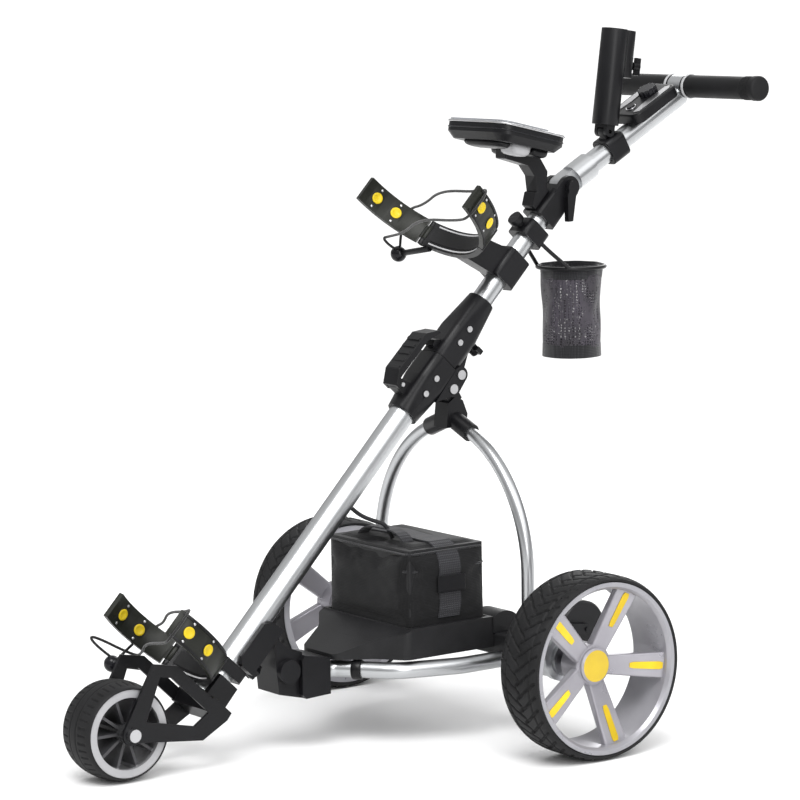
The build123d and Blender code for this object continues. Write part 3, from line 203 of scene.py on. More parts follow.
def woven(name, colour, thread, depth, sheen=0.35):
    """A plain weave: two crossed sets of threads, with a slow drift of shade and a soft sheen."""
    build = Nodes(name)
    waves = []
    for direction in ("X", "Y", "Z"):
        wave = build.add("ShaderNodeTexWave", wave_type="BANDS", bands_direction=direction)
        wave.inputs["Scale"].default_value = 1 / thread / 6.3
        wave.inputs["Distortion"].default_value = 0.4
        build.link(build.coordinates, wave.inputs["Vector"])
        waves.append(wave.outputs["Fac"])
    weave = build.math("MULTIPLY", build.math("ADD", waves[0], waves[1]), waves[2])
    drift = build.noise(16, 4)
    mixed = build.math("ADD", build.math("MULTIPLY", weave, 0.35), build.math("MULTIPLY", drift, 0.65))
    build.base(build.ramp(mixed, [(0.2, shaded(colour, 0.6)), (0.8, shaded(colour, 1.7))]))
    build.set(roughness=0.72, sheen_weight=sheen, sheen_roughness=0.5, specular_ior_level=0.2)
    build.bump(weave, depth)
    return build.material


def netting(name, colour, cell):
    """A knotted net: a honeycomb of cords with holes between them."""
    build = Nodes(name)
    cells = build.add("ShaderNodeTexVoronoi", feature="DISTANCE_TO_EDGE")
    cells.inputs["Scale"].default_value = 1 / cell
    cells.inputs["Randomness"].default_value = 0.35
    build.link(build.coordinates, cells.inputs["Vector"])
    hole = build.math("GREATER_THAN", cells.outputs["Distance"], 0.17)
    drift = build.noise(25, 3)
    build.base(build.ramp(drift, [(0.3, shaded(colour, 0.6)), (0.75, shaded(colour, 1.8))]))
    build.set(roughness=0.7, sheen_weight=0.3)
    solid = build.math("SUBTRACT", 1.0, build.math("MULTIPLY", hole, 0.72))
    build.link(solid, build.shader.inputs["Alpha"])
    build.bump(cells.outputs["Distance"], 0.0004)
    return build.material


def ringed(name, centre, rings, low, high):
    """A wheel finish that changes with the distance from its axle, given as (millimetres, colour)."""
    build = Nodes(name)
    offset = build.add("ShaderNodeVectorMath", operation="SUBTRACT")
    offset.inputs[1].default_value = centre
    build.link(build.coordinates, offset.inputs[0])
    flat = build.add("ShaderNodeVectorMath", operation="MULTIPLY")
    flat.inputs[1].default_value = (0, 1, 1)
    build.link(offset.outputs["Vector"], flat.inputs[0])
    reach = build.add("ShaderNodeVectorMath", operation="LENGTH")
    build.link(flat.outputs["Vector"], reach.inputs[0])
    largest = rings[-1][0]
    share = build.math("DIVIDE", reach.outputs["Value"], largest * MM)
    colour = build.ramp(share, [(radius / largest, tint) for radius, tint in rings])
    drift = build.noise(22, 4)
    tone = build.ramp(drift, [(0.3, (0.85, 0.85, 0.86)), (0.7, (1.0, 1.0, 1.0))])
    mixed = build.add("ShaderNodeMix", data_type="RGBA", blend_type="MULTIPLY")
    mixed.inputs["Factor"].default_value = 1.0
    build.link(colour, mixed.inputs["A"])
    build.link(tone, mixed.inputs["B"])
    build.base(mixed.outputs["Result"])
    build.rough(drift, low, high)
    build.bump(build.noise(600, 2), 0.00005)
    return build.material


TUBE_STRETCH = (1.0, 0.15, 0.15)
SILVER = satin_metal("silver_tube", (0.50, 0.51, 0.52), TUBE_STRETCH)
BRIGHT = satin_metal("bright_metal", (0.50, 0.50, 0.51), (1, 1, 1))
MOTOR = satin_metal("motor_case", (0.42, 0.43, 0.44), (0.2, 1, 1))
DARK_STEEL = satin_metal("dark_steel", (0.07, 0.07, 0.075), (1, 1, 1))
BLACK = moulded("black_plastic", (0.006, 0.006, 0.007), 0.25, 0.45)
OLIVE = moulded("pad_plastic", (0.012, 0.013, 0.010), 0.25, 0.45)
CHARCOAL = moulded("charcoal_plastic", (0.013, 0.013, 0.014), 0.35, 0.6, 500, 0.00018)
GLOSS = moulded("gloss_black", (0.010, 0.010, 0.012), 0.08, 0.2, 300, 0.00002)
GREY = moulded("light_grey_plastic", (0.42, 0.42, 0.43), 0.3, 0.5)
YELLOW = moulded("yellow_plastic", (0.60, 0.44, 0.015), 0.22, 0.4)
STRIPE = moulded("stripe_paint", (0.66, 0.46, 0.02), 0.25, 0.42)
TYRE = rubber("tyre_rubber", (0.007, 0.007, 0.0075))
FOAM = rubber("grip_foam", (0.005, 0.005, 0.0055))
LEAD = rubber("lead_rubber", (0.012, 0.012, 0.013))
NYLON = woven("bag_nylon", (0.0045, 0.0045, 0.005), 0.0011, 0.0002, 0.08)
WEBBING = woven("webbing", (0.022, 0.022, 0.025), 0.0016, 0.0004, 0.15)
CORD = woven("braided_cord", (0.012, 0.012, 0.012), 0.0009, 0.0003)
TAPE = woven("binding_tape", (0.010, 0.010, 0.012), 0.0012, 0.0003)
NET = netting("pouch_net", (0.022, 0.018, 0.026), 0.0042)
SMOKED = moulded("smoked_lid", (0.30, 0.31, 0.33), 0.06, 0.15, 200, 0.00002)
REAR_CENTRE = joint_at("rear_wheel_left_spin")
FRONT_CENTRE = joint_at("front_wheel_spin")
WHEEL_SILVER = ringed(
    "wheel_silver", REAR_CENTRE,
    [
        (0, (0.30, 0.29, 0.31)), (30, (0.34, 0.33, 0.36)),
        (104, (0.38, 0.37, 0.40)), (122, (0.33, 0.33, 0.35)),
    ],
    0.22, 0.38,
)
WHEEL_SILVER.node_tree.nodes["Principled BSDF"].inputs["Metallic"].default_value = 0.45
FRONT_RIM = ringed(
    "front_rim_grey", FRONT_CENTRE,
    [
        (0, (0.02, 0.02, 0.02)), (48, (0.05, 0.05, 0.055)),
        (50.5, (0.36, 0.36, 0.37)), (62, (0.42, 0.42, 0.43)),
    ],
    0.3, 0.5,
)
CAP = ringed(
    "hub_cap_yellow", REAR_CENTRE,
    [
        (0, (0.62, 0.44, 0.015)), (22, (0.60, 0.42, 0.015)),
        (22.5, (0.30, 0.29, 0.31)), (26, (0.34, 0.33, 0.36)),
    ],
    0.12, 0.25,
)

FINISHES = {
    SILVER: ("lower_stem_tube", "upper_stem_tube", "handle_tube", "arch_tubes", "frame_rails"),
    BRIGHT: ("hinge_pins", "upper_rivets", "front_axle"),
    MOTOR: ("motor_left", "motor_right"),
    DARK_STEEL: ("motor_rotor_left", "motor_rotor_right", "rear_axle_left", "rear_axle_right"),
    OLIVE: ("lower_pad_left", "lower_pad_right", "upper_pad_left", "upper_pad_right"),
    CHARCOAL: ("battery_tray", "axle_beam", "battery"),
    GLOSS: ("speed_dial", "power_button"),
    WHEEL_SILVER: ("rear_rim_left", "rear_rim_right"),
    CAP: ("hub_cap_left", "hub_cap_right"),
    FRONT_RIM: ("front_rim",),
    FOAM: ("grip_left", "grip_right"),
    LEAD: ("battery_lead",),
    NYLON: ("battery_bag",),
    NET: ("mesh_pouch",),
    TYRE: ("front_tyre", "rear_tyre_left", "rear_tyre_right"),
    SMOKED: ("console_lid",),
}
finish_of = {node: finish for finish, nodes in FINISHES.items() for node in nodes}
for node_name, node in frame["nodes"].items():
    node.data.materials.clear()
    node.data.materials.append(finish_of.get(node_name, BLACK))


# moulded and cast pieces have rounded edges
EDGE_ROUNDING = {
    "front_fork": 2.0, "fold_bracket": 3.0, "hinge_lower_casting": 1.8, "hinge_upper_casting": 1.8,
    "lower_cradle": 1.6, "upper_cradle": 1.6, "battery_tray": 3.0, "handle_joint": 1.8, "umbrella_clamp": 1.5,
    "pouch_holder": 1.2, "y_bracket": 2.0, "console_bracket": 1.8, "latch_lever": 1.5, "axle_beam": 1.5,
    "anti_tip_arm": 1.5, "handle_lever": 1.2, "lower_pad_left": 1.2, "lower_pad_right": 1.2,
    "upper_pad_left": 1.2, "upper_pad_right": 1.2, "umbrella_holder": 0.8, "fold_knob": 1.0,
    "umbrella_knob": 1.0, "hinge_knob": 1.0, "speed_dial": 0.8, "rear_rim_left": 0.8, "rear_rim_right": 0.8,
    "console_tray": 1.2,
}
SAME_POINT = 0.00002
SHARP_ANGLE = radians(38)
for node_name, width in EDGE_ROUNDING.items():
    node = frame["nodes"][node_name]
    join = node.modifiers.new("join", "WELD")
    join.merge_threshold = SAME_POINT
    edges = node.modifiers.new("edges", "BEVEL")
    edges.width = width * MM
    edges.segments = 2
    edges.limit_method = "ANGLE"
    edges.angle_limit = SHARP_ANGLE
    edges.harden_normals = False


# ---- piece builders ----
def piece(name, points, faces, material, body, smooth=True):
    """A mesh piece that rides on a body."""
    mesh = bpy.data.meshes.new(name)
    mesh.from_pydata([tuple(point) for point in points], [], faces)
    mesh.validate()
    tidy = bmesh.new()
    tidy.from_mesh(mesh)
    bmesh.ops.remove_doubles(tidy, verts=tidy.verts, dist=0.000005)
    bmesh.ops.recalc_face_normals(tidy, faces=tidy.faces)
    tidy.to_mesh(mesh)
    tidy.free()
    mesh.materials.append(material)
    thing = bpy.data.objects.new(name, mesh)
    bpy.context.collection.objects.link(thing)
    for polygon in mesh.polygons:
        polygon.use_smooth = smooth
    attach(thing, body)
    return thing


def apply_modifiers(thing):
    """Bakes a piece's modifiers into its mesh."""
    graph = bpy.context.evaluated_depsgraph_get()
    baked = bpy.data.meshes.new_from_object(thing.evaluated_get(graph))
    for modifier in list(thing.modifiers):
        thing.modifiers.remove(modifier)
    thing.data = baked


def basis(axis):
    """Two directions square to an axis and to each other."""
    axis = axis.normalized()
    helper = Vector((0, 0, 1)) if abs(axis.z) < 0.9 else Vector((0, 1, 0))
    across = axis.cross(helper).normalized()
    return across, axis.cross(across)


def ring_faces(rings, around, closed_ends=True, closed_loop=False):
    """Faces between rings of points, as laid out by the functions below."""
    faces = []
    for ring in range(rings if closed_loop else rings - 1):
        following = (ring + 1) % rings
        for step in range(around):
            after = (step + 1) % around
            faces.append((
                ring * around + step, ring * around + after,
                following * around + after, following * around + step,
            ))
    if closed_ends and not closed_loop:
        faces.append(tuple(range(around)))
        faces.append(tuple(range((rings - 1) * around, rings * around)))
    return faces


def turned(name, centre, axis, profile, material, body, around=48):
    """A turned piece with closed ends: profile is (distance along the axis, radius) in millimetres."""
    across, upward = basis(axis)
    axis = axis.normalized()
    points = []
    for along, radius in profile:
        for step in range(around):
            angle = 2 * pi * step / around
            spoke = across * cos(angle) + upward * sin(angle)
            points.append(centre + (axis * along + spoke * radius) * MM)
    return piece(name, points, ring_faces(len(profile), around), material, body)


def hoop(name, centre, axis, outline, material, body, around=96):
    """A ring whose closed section is given as (distance along the axis, radius) in millimetres."""
    across, upward = basis(axis)
    axis = axis.normalized()
    points = []
    for step in range(around):
        angle = 2 * pi * step / around
        spoke = across * cos(angle) + upward * sin(angle)
        for along, radius in outline:
            points.append(centre + (axis * along + spoke * radius) * MM)
    return piece(name, points, ring_faces(around, len(outline), closed_loop=True), material, body)


def ribbon(name, path, widths, normals, thickness, material, body):
    """A flat strap along a path: widths gives its half-width vectors and normals its outward side."""
    points = []
    for point, half, normal in zip(path, widths, normals):
        lift = normal * thickness
        rounded = normal * thickness * 0.35
        crest = lift - rounded * 0.2
        points.extend((point - half, point - half * 0.96 + crest, point + half * 0.96 + crest, point + half))
    return piece(name, points, ring_faces(len(path), 4), material, body, smooth=False)


def slab(name, corners, depth, material, body, bevel=0.0008):
    """A plate from a flat outline and a depth vector, with rounded edges."""
    count = len(corners)
    points = list(corners) + [corner + depth for corner in corners]
    faces = [tuple(range(count)), tuple(range(2 * count - 1, count - 1, -1))]
    for step in range(count):
        after = (step + 1) % count
        faces.append((step, after, count + after, count + step))
    thing = piece(name, points, faces, material, body, smooth=False)
    edges = thing.modifiers.new("edges", "BEVEL")
    edges.width = bevel
    edges.segments = 3
    edges.limit_method = "ANGLE"
    apply_modifiers(thing)
    return thing


# ---- tyres with real tread ----
def tyre(name, centre, outline, tread, groove, around, material, body):
    """A tyre from its closed section. groove says how deep the tread is cut at (lateral, angle)."""
    points = []
    low, high = tread
    for step in range(around):
        angle = 2 * pi * step / around
        spoke = Vector((0, cos(angle), sin(angle)))
        for lateral, radius, on_tread in outline:
            cut = groove(lateral, angle) if on_tread and low <= lateral <= high else 0.0
            points.append(centre + (X_AXIS * lateral + spoke * (radius - cut)) * MM)
    return piece(name, points, ring_faces(around, len(outline), closed_loop=True), material, body)


def rounded_section(half, crown, shoulder, rim, rim_half, steps):
    """Round shoulders, an almost flat crown and a straight inner side, as (lateral, radius, on tread)."""
    outline = [(-rim_half, rim, False), (-half, rim + 1.5, False), (-half, shoulder, False)]
    for step in range(steps + 1):
        share = -1 + 2 * step / steps
        drop = (crown - shoulder) * abs(share) ** 7
        outline.append(((half - 0.6) * share, crown - drop, True))
    outline += [(half, shoulder, False), (half, rim + 1.5, False), (rim_half, rim, False)]
    return outline


REAR_BLOCKS = 42
FRONT_BLOCKS = 40
REAR_CROWN, REAR_SHOULDER, REAR_SEAT, REAR_BEAD = 130.0, 125.5, 121.2, 117.2
FRONT_BEAD, FRONT_SEAT, FRONT_EDGE, FRONT_RISE = 61.2, 61.8, 62.0, 7.0


def rear_groove(lateral, angle):
    """Slanted blocks either side of a wavy middle channel, with an edge rib on each shoulder."""
    turns = angle / (2 * pi) * REAR_BLOCKS
    phase = (turns + abs(lateral) / 26 + (0.5 if lateral > 0 else 0.0)) % 1.0
    wave = 3.5 * sin(turns * 2 * pi)
    middle = abs(lateral - wave) < 1.8
    shoulder_line = 24.0 < abs(lateral) < 26.0
    cross = phase < 0.2 and abs(lateral) < 37
    return 2.6 if middle or shoulder_line or cross else 0.0


def front_groove(lateral, angle):
    """Short cross slots towards each edge, and two fine lines round the crown."""
    turns = angle / (2 * pi) * FRONT_BLOCKS
    slot_here = (turns + (0.5 if lateral > 0 else 0)) % 1.0 < 0.25 and 12 < abs(lateral) < 27
    line = 7.0 < abs(lateral) < 8.6
    return 1.5 if slot_here or line else 0.0


REAR_STEPS = 56
REAR_AROUND = 840
for hand in ("left", "right"):
    low, high = span(f"rear_tyre_{hand}")
    middle = (low + high) / 2
    half = (high.x - low.x) / 2 / MM
    section = rounded_section(half, REAR_CROWN, REAR_SHOULDER, REAR_SEAT, half - 6.6, REAR_STEPS)
    section = [(-half + 9.6, REAR_BEAD, False)] + section + [(half - 9.6, REAR_BEAD, False)]
    thing = tyre(
        f"tread_tyre_{hand}", middle, section, (-38, 38), rear_groove, REAR_AROUND, TYRE,
        f"rear_wheel_{hand}",
    )
    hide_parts(f"rear_tyre_{hand}")

low, high = span("front_tyre")
half = (high.x - low.x) / 2 / MM
section = [(-half + 0.3, FRONT_BEAD, False), (-half + 0.1, FRONT_SEAT, False)]
for step in range(49):
    share = -1 + step / 24
    section.append(((half - 0.2) * share, FRONT_EDGE + FRONT_RISE * (1 - share * share) ** 0.62, True))
section += [(half - 0.1, FRONT_SEAT, False), (half - 0.3, FRONT_BEAD, False)]
thing = tyre(
    "front_tread_tyre", FRONT_CENTRE, section, (-30, 30), front_groove, 480, TYRE, "front_wheel",
)
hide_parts("front_tyre")

# ---- rear wheel trim ----
SPOKES = 5
FIRST_SPOKE = -6.0
SPOKE_ROOT, SPOKE_LENGTH = 22.0, 90.5
FACE_AT_ROOT, FACE_AT_RIM = 317.5, 338.5
STRIPE_LIFT = 0.15
HALF_STRIPE = [(58, 3.2), (64, 4.6), (104, 5.6), (109, 4)]
STRIPE_OUTLINE = [(reach, -across) for reach, across in HALF_STRIPE] + HALF_STRIPE[::-1]


def on_spoke(centre, sign, turn, reach, across):
    """A point on the outer face of the spoke at an angle, reach and across in millimetres."""
    outward = Vector((0, cos(turn), sin(turn)))
    sideways = Vector((0, -sin(turn), cos(turn)))
    share = (reach - SPOKE_ROOT) / SPOKE_LENGTH
    face = FACE_AT_ROOT + share * (FACE_AT_RIM - FACE_AT_ROOT) + STRIPE_LIFT
    return Vector((sign * face * MM, centre.y, centre.z)) + (outward * reach + sideways * across) * MM


for hand, sign in (("left", 1), ("right", -1)):
    centre = joint_at(f"rear_wheel_{hand}_spin")
    for spoke in range(SPOKES):
        turn = radians(FIRST_SPOKE + 360 * spoke / SPOKES)
        corners = [on_spoke(centre, sign, turn, reach, across) for reach, across in STRIPE_OUTLINE]
        slab(
            f"stripe_{hand}_{spoke}", corners, Vector((sign * 0.0009, 0, 0)), STRIPE, f"rear_wheel_{hand}",
            0.0003,
        )

# ---- pad studs and trim ----
CRADLES = {
    "lower": dict(
        station=-666, centre=114, radius=86, saddle=52, tip=30, body="pad_lower", parent="chassis",
    ),
    "upper": dict(
        station=62, centre=205, radius=125, saddle=58, tip=-4, body="pad_upper", parent="upper_frame",
    ),
}
LUG_STEP, SADDLE_THICKNESS, PAD_THICKNESS, PAD_WIDTH = 4.0, 8.0, 7.0, 40.0
STUD_SHARES = (0.45, 0.78)
STUD_SINK = 1.05
SCREW_OFFSET, LIP_OFFSET = 14.5, 17.5
STUD_PROFILE = [(0, 0.2), (0, 8.2), (0.6, 8.4), (1.2, 7.6), (1.5, 5.5), (1.2, 5.2), (1.2, 0.2)]
SCREW_PROFILE = [(0, 0.2), (0, 2.2), (0.7, 2.0), (1.0, 1.2), (1.0, 0.2)]


def rim_point(spec, radius, angle, station=0.0, sign=1):
    """A point on a cradle's circle, 0 degrees to the left and 90 degrees out from the stem."""
    turn = radians(angle)
    lateral = sign * radius * cos(turn)
    return stem_at(lateral, spec["station"] + station, spec["centre"] + radius * sin(turn))


def rim_direction(spec, angle, sign=1):
    """The way out from the cradle's centre at an angle."""
    return (rim_point(spec, 100, angle, 0, sign) - rim_point(spec, 0, angle, 0, sign)).normalized()


for level, spec in CRADLES.items():
    radius = spec["radius"]
    root = LUG_STEP / (radius + SADDLE_THICKNESS / 2) * 180 / pi - spec["saddle"] + 7 / radius * 180 / pi
    for hand, sign in (("left", 1), ("right", -1)):
        body = f"{spec['body']}_{hand}"
        for number, share in enumerate(STUD_SHARES):
            angle = root + share * (spec["tip"] - root)
            direction = rim_direction(spec, angle, sign)
            inner, outer = radius - STUD_SINK, radius + PAD_THICKNESS + STUD_SINK
            for side_name, reach, facing in (("in", inner, -1), ("out", outer, 1)):
                spot = rim_point(spec, reach, angle, 0, sign)
                turned(
                    f"stud_{level}_{hand}_{number}_{side_name}", spot, direction * facing,
                    STUD_PROFILE, YELLOW, body, 32,
                )
                for edge in (-SCREW_OFFSET, SCREW_OFFSET):
                    turned(
                        f"screw_{level}_{hand}_{number}_{side_name}_{'a' if edge < 0 else 'b'}",
                        rim_point(spec, reach - facing * 1.0, angle, edge, sign), direction * facing,
                        SCREW_PROFILE, BRIGHT, body, 12,
                    )
        # a raised lip runs along both long edges of each pad's outer face
        for edge in (-LIP_OFFSET, LIP_OFFSET):
            steps = 14
            path, widths, normals = [], [], []
            for step in range(steps + 1):
                angle = root + 3 + (spec["tip"] - root - 6) * step / steps
                path.append(rim_point(spec, radius + PAD_THICKNESS, angle, edge, sign))
                widths.append(STEM_ALONG * 1.6 * MM)
                normals.append(rim_direction(spec, angle, sign))
            ribbon(
                f"lip_{level}_{hand}_{'a' if edge < 0 else 'b'}", path, widths, normals, 1.2 * MM, BLACK,
                body,
            )
    # the saddle wears a rubber strip with a thin light edge
    for name, offset, half_width, material, height in (
        ("strip", 0, 11, TYRE, 1.4), ("edge_a", -15.5, 1.1, GREY, 0.7), ("edge_b", 15.5, 1.1, GREY, 0.7),
    ):
        path, widths, normals = [], [], []
        for step in range(25):
            angle = spec["saddle"] - 180 + 4 + (180 - 2 * spec["saddle"] - 8) * step / 24
            path.append(rim_point(spec, radius, angle, offset))
            widths.append(STEM_ALONG * half_width * MM)
            normals.append((rim_point(spec, 0, angle) - rim_point(spec, 100, angle)).normalized())
        ribbon(
            f"saddle_{level}_{name}", path, widths, normals, height * MM, material, spec["parent"],
        )


# ---- bungees: a ball on a horn, and an elastic loop behind the far pad and over the near pad's tip ----
BALL_RADIUS = 12.0
BUNGEE_DIAMETER = 4.0
FAR_STRAND = 27.0
EDGE = PAD_WIDTH / 2 + 7


def spline(name, points, diameter, material, body):
    """A smooth NURBS cord through the route's corners."""
    curve = bpy.data.curves.new(name, "CURVE")
    curve.dimensions = "3D"
    line = curve.splines.new("NURBS")
    line.points.add(len(points) - 1)
    for target, point in zip(line.points, points):
        target.co = (*point, 1)
        target.radius = diameter / 2 * MM
    line.order_u = 3
    line.use_endpoint_u = True
    line.resolution_u = 12
    curve.bevel_depth = 1.0
    curve.bevel_resolution = 5
    curve.use_fill_caps = True
    curve.materials.append(material)
    thing = bpy.data.objects.new(name, curve)
    bpy.context.collection.objects.link(thing)
    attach(thing, body)
    return thing


def curve_length(thing):
    """The length of a curve's own line."""
    depth = thing.data.bevel_depth
    thing.data.bevel_depth = 0
    bare = bpy.data.meshes.new_from_object(thing.evaluated_get(bpy.context.evaluated_depsgraph_get()))
    thing.data.bevel_depth = depth
    ends = [[bare.vertices[index].co for index in edge.vertices] for edge in bare.edges]
    total = sum((first - second).length for first, second in ends)
    bpy.data.meshes.remove(bare)
    return total


def towards(start, end, distance):
    return start + (end - start).normalized() * distance * MM


BUNGEES = {
    "lower": dict(ball=(-99.0, -724.0, 92.0), far=205, body="chassis", rise=13, bow=(-8, -6, 42)),
    "upper": dict(ball=(-128.0, 30.0, 84.0), far=215, body="upper_frame", rise=19, bow=(-4, -2, 6)),
}
for level, cord in BUNGEES.items():
    spec = CRADLES[level]
    ball = stem_at(*cord["ball"])
    tip = rim_point(spec, spec["radius"] + PAD_THICKNESS + 4, spec["tip"] - 6)
    far = rim_point(spec, spec["radius"] + FAR_STRAND, cord["far"])
    shift = STEM_ALONG * EDGE * MM
    far_low, far_high = far - shift, far + shift
    tip_low, tip_high = tip - shift, tip + shift
    rise = STEM_OUT * cord["rise"] * MM
    across, along, out = cord["bow"]
    bow = (X_AXIS * across + STEM_ALONG * along + STEM_OUT * out) * MM
    route = [
        towards(ball, far_low, BALL_RADIUS - 2),
        ball.lerp(far_low, 0.35) + bow,
        ball.lerp(far_low, 0.75) + bow * 1.7,
        far_low,
        far_low.lerp(tip_low, 0.2),
        far_low.lerp(tip_low, 0.5) + rise,
        far_low.lerp(tip_low, 0.85),
        tip_low,
        tip_high,
        far_high.lerp(tip_high, 0.85),
        far_high.lerp(tip_high, 0.5) + rise,
        far_high.lerp(tip_high, 0.2),
        far_high,
        ball.lerp(far_high, 0.5) + rise / 3,
        towards(ball, far_high, BALL_RADIUS - 2),
    ]
    loop = spline(f"{level}_elastic", route, BUNGEE_DIAMETER, CORD, cord["body"])
    latitudes = [radians(degree) for degree in range(-90, 91, 10)]
    globe = [(BALL_RADIUS * sin(turn), max(0.15, BALL_RADIUS * cos(turn))) for turn in latitudes]
    turned(f"{level}_ball", ball, STEM_OUT, globe, GLOSS, cord["body"], 36)
    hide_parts(f"{level}_bungee")
    curve_length(loop)

# ---- battery lead from the stem to the bag ----
LEAD_STATION = -345.0
lead_exit = stem_at(0, LEAD_STATION, -19.2)
LEAD_DIAMETER = 6.0
lead_route = [
    lead_exit,
    lead_exit - STEM_OUT * 18 * MM,
    place(6, -150, 311),
    place(14, -132, 305),
    place(16, -124, 284.4),
]
lead = spline("battery_lead_cable", lead_route, LEAD_DIAMETER, LEAD, "chassis")
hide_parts("battery_lead")
curve_length(lead)


# ---- soft battery bag ----
def soft_box(name, low, high, rounding, cells, material, body):
    """A rounded box of small quads, from its corners in metres."""
    core_low = low + Vector((rounding,) * 3)
    core_high = high - Vector((rounding,) * 3)
    mesh = bmesh.new()
    bmesh.ops.create_cube(mesh, size=2.0)
    bmesh.ops.subdivide_edges(mesh, edges=mesh.edges[:], cuts=cells, use_grid_fill=True)
    points = []
    for vertex in mesh.verts:
        share = Vector(((1 + c) / 2 for c in vertex.co))
        flat = Vector((low[i] + share[i] * (high[i] - low[i]) for i in range(3)))
        core = Vector((min(max(flat[i], core_low[i]), core_high[i]) for i in range(3)))
        away = flat - core
        points.append(core + away.normalized() * rounding if away.length > 1e-9 else flat)
    faces = [tuple(vertex.index for vertex in face.verts) for face in mesh.faces]
    mesh.free()
    return piece(name, points, faces, material, body)


def billow(thing, pressure, limit, frozen_below, frames=18):
    """Fills a closed cloth with air for a moment, so that its faces crown and its corners pull."""
    rest = [vertex.co.copy() for vertex in thing.data.vertices]
    copied = thing.copy()
    copied.data = thing.data.copy()
    copied.name = "simulated"
    bpy.context.collection.objects.link(copied)
    copied.parent = None
    copied.matrix_world = thing.matrix_world.copy()
    hold = copied.vertex_groups.new(name="hold")
    for index, point in enumerate(rest):
        if point.z < frozen_below:
            hold.add([index], 1.0, "REPLACE")
    cloth = copied.modifiers.new("cloth", "CLOTH")
    cloth.settings.quality = 6
    cloth.settings.mass = 0.3
    cloth.settings.tension_stiffness = 25
    cloth.settings.compression_stiffness = 25
    cloth.settings.shear_stiffness = 15
    cloth.settings.bending_stiffness = 0.6
    cloth.settings.use_pressure = True
    cloth.settings.uniform_pressure_force = pressure
    cloth.settings.vertex_group_mass = "hold"
    cloth.settings.effector_weights.gravity = 0
    scene = bpy.context.scene
    for moment in range(1, frames + 1):
        scene.frame_set(moment)
    solved = copied.evaluated_get(bpy.context.evaluated_depsgraph_get()).to_mesh()
    for vertex, start, moved in zip(thing.data.vertices, rest, [v.co.copy() for v in solved.vertices]):
        shift = moved - start
        if shift.length > limit:
            shift = shift.normalized() * limit
        vertex.co = start + shift
    copied.evaluated_get(bpy.context.evaluated_depsgraph_get()).to_mesh_clear()
    scene.frame_set(1)
    bpy.data.objects.remove(copied)


bag_low, bag_high = span("battery_bag")
TRAY_TOP = span("battery_tray")[1].z
bag = soft_box(
    "battery_bag_cover", bag_low + Vector((0.001, 0.001, 0.0)), bag_high - Vector((0.001, 0.001, 0.004)),
    0.010, 34, NYLON, "chassis",
)
middle = (bag_low + bag_high) / 2
half_size = (bag_high - bag_low) / 2
for vertex in bag.data.vertices:
    point = vertex.co
    rise = max(0.0, min(1.0, (point.z - TRAY_TOP) / 0.03))
    local = Vector(((point[i] - middle[i]) / half_size[i] for i in range(3)))
    crown = 1 - min(1.0, max(abs(local.x * local.z), abs(local.y * local.z), abs(local.x * local.y)))
    fold = noise.noise(Vector((point.x * 16, point.y * 16, point.z * 34))) * 0.0022
    crease = noise.noise(Vector((point.x * 46 + 7, point.y * 46, point.z * 70))) * 0.0009
    direction = Vector((local.x ** 7, local.y ** 7, local.z ** 7))
    if direction.length > 1e-6:
        vertex.co = point + direction.normalized() * rise * (fold + crease + 0.0012 * crown)
billow(bag, 3.0, 0.004, TRAY_TOP + 0.004)
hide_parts("battery_bag")


def resting(point, lift):
    """The nearest place on the bag's cloth, lifted off it."""
    found, place_on, normal, _ = bag.closest_point_on_mesh(point)
    return place_on + normal * lift if found else point


def seam(name, corners, radius, material, body, closed=True):
    """A sewn cord of piping through a closed line of points."""
    points = []
    count = len(corners)
    around = 8
    for step in range(count):
        before, after = corners[step - 1], corners[(step + 1) % count]
        direction = (after - before).normalized()
        across, upward = basis(direction)
        for turn in range(around):
            angle = 2 * pi * turn / around
            points.append(corners[step] + (across * cos(angle) + upward * sin(angle)) * radius)
    return piece(name, points, ring_faces(count, around, closed_loop=closed), material, body)


def rounded_loop(low, high, rounding, z, steps=10):
    """A rounded rectangle at one height, as points."""
    loop = []
    corners = ((high.x, high.y, 0), (low.x, high.y, 90), (low.x, low.y, 180), (high.x, low.y, 270))
    for x, y, start in corners:
        for step in range(steps + 1):
            angle = radians(start + 90 * step / steps)
            inset_x = x - rounding * (1 if x == high.x else -1)
            inset_y = y - rounding * (1 if y == high.y else -1)
            loop.append(Vector((inset_x + rounding * cos(angle), inset_y + rounding * sin(angle), z)))
    return loop


PIPING_LIFT = Vector((0.0006, 0.0006, 0))
for name, height in (("top", bag_high.z - 0.007), ("lid", bag_high.z - 0.034)):
    ring = rounded_loop(bag_low - PIPING_LIFT, bag_high + PIPING_LIFT, 0.012, height)
    ring = [resting(point, 0.0006) for point in ring]
    seam(f"bag_piping_{name}", ring, 0.0016, TAPE, "chassis")


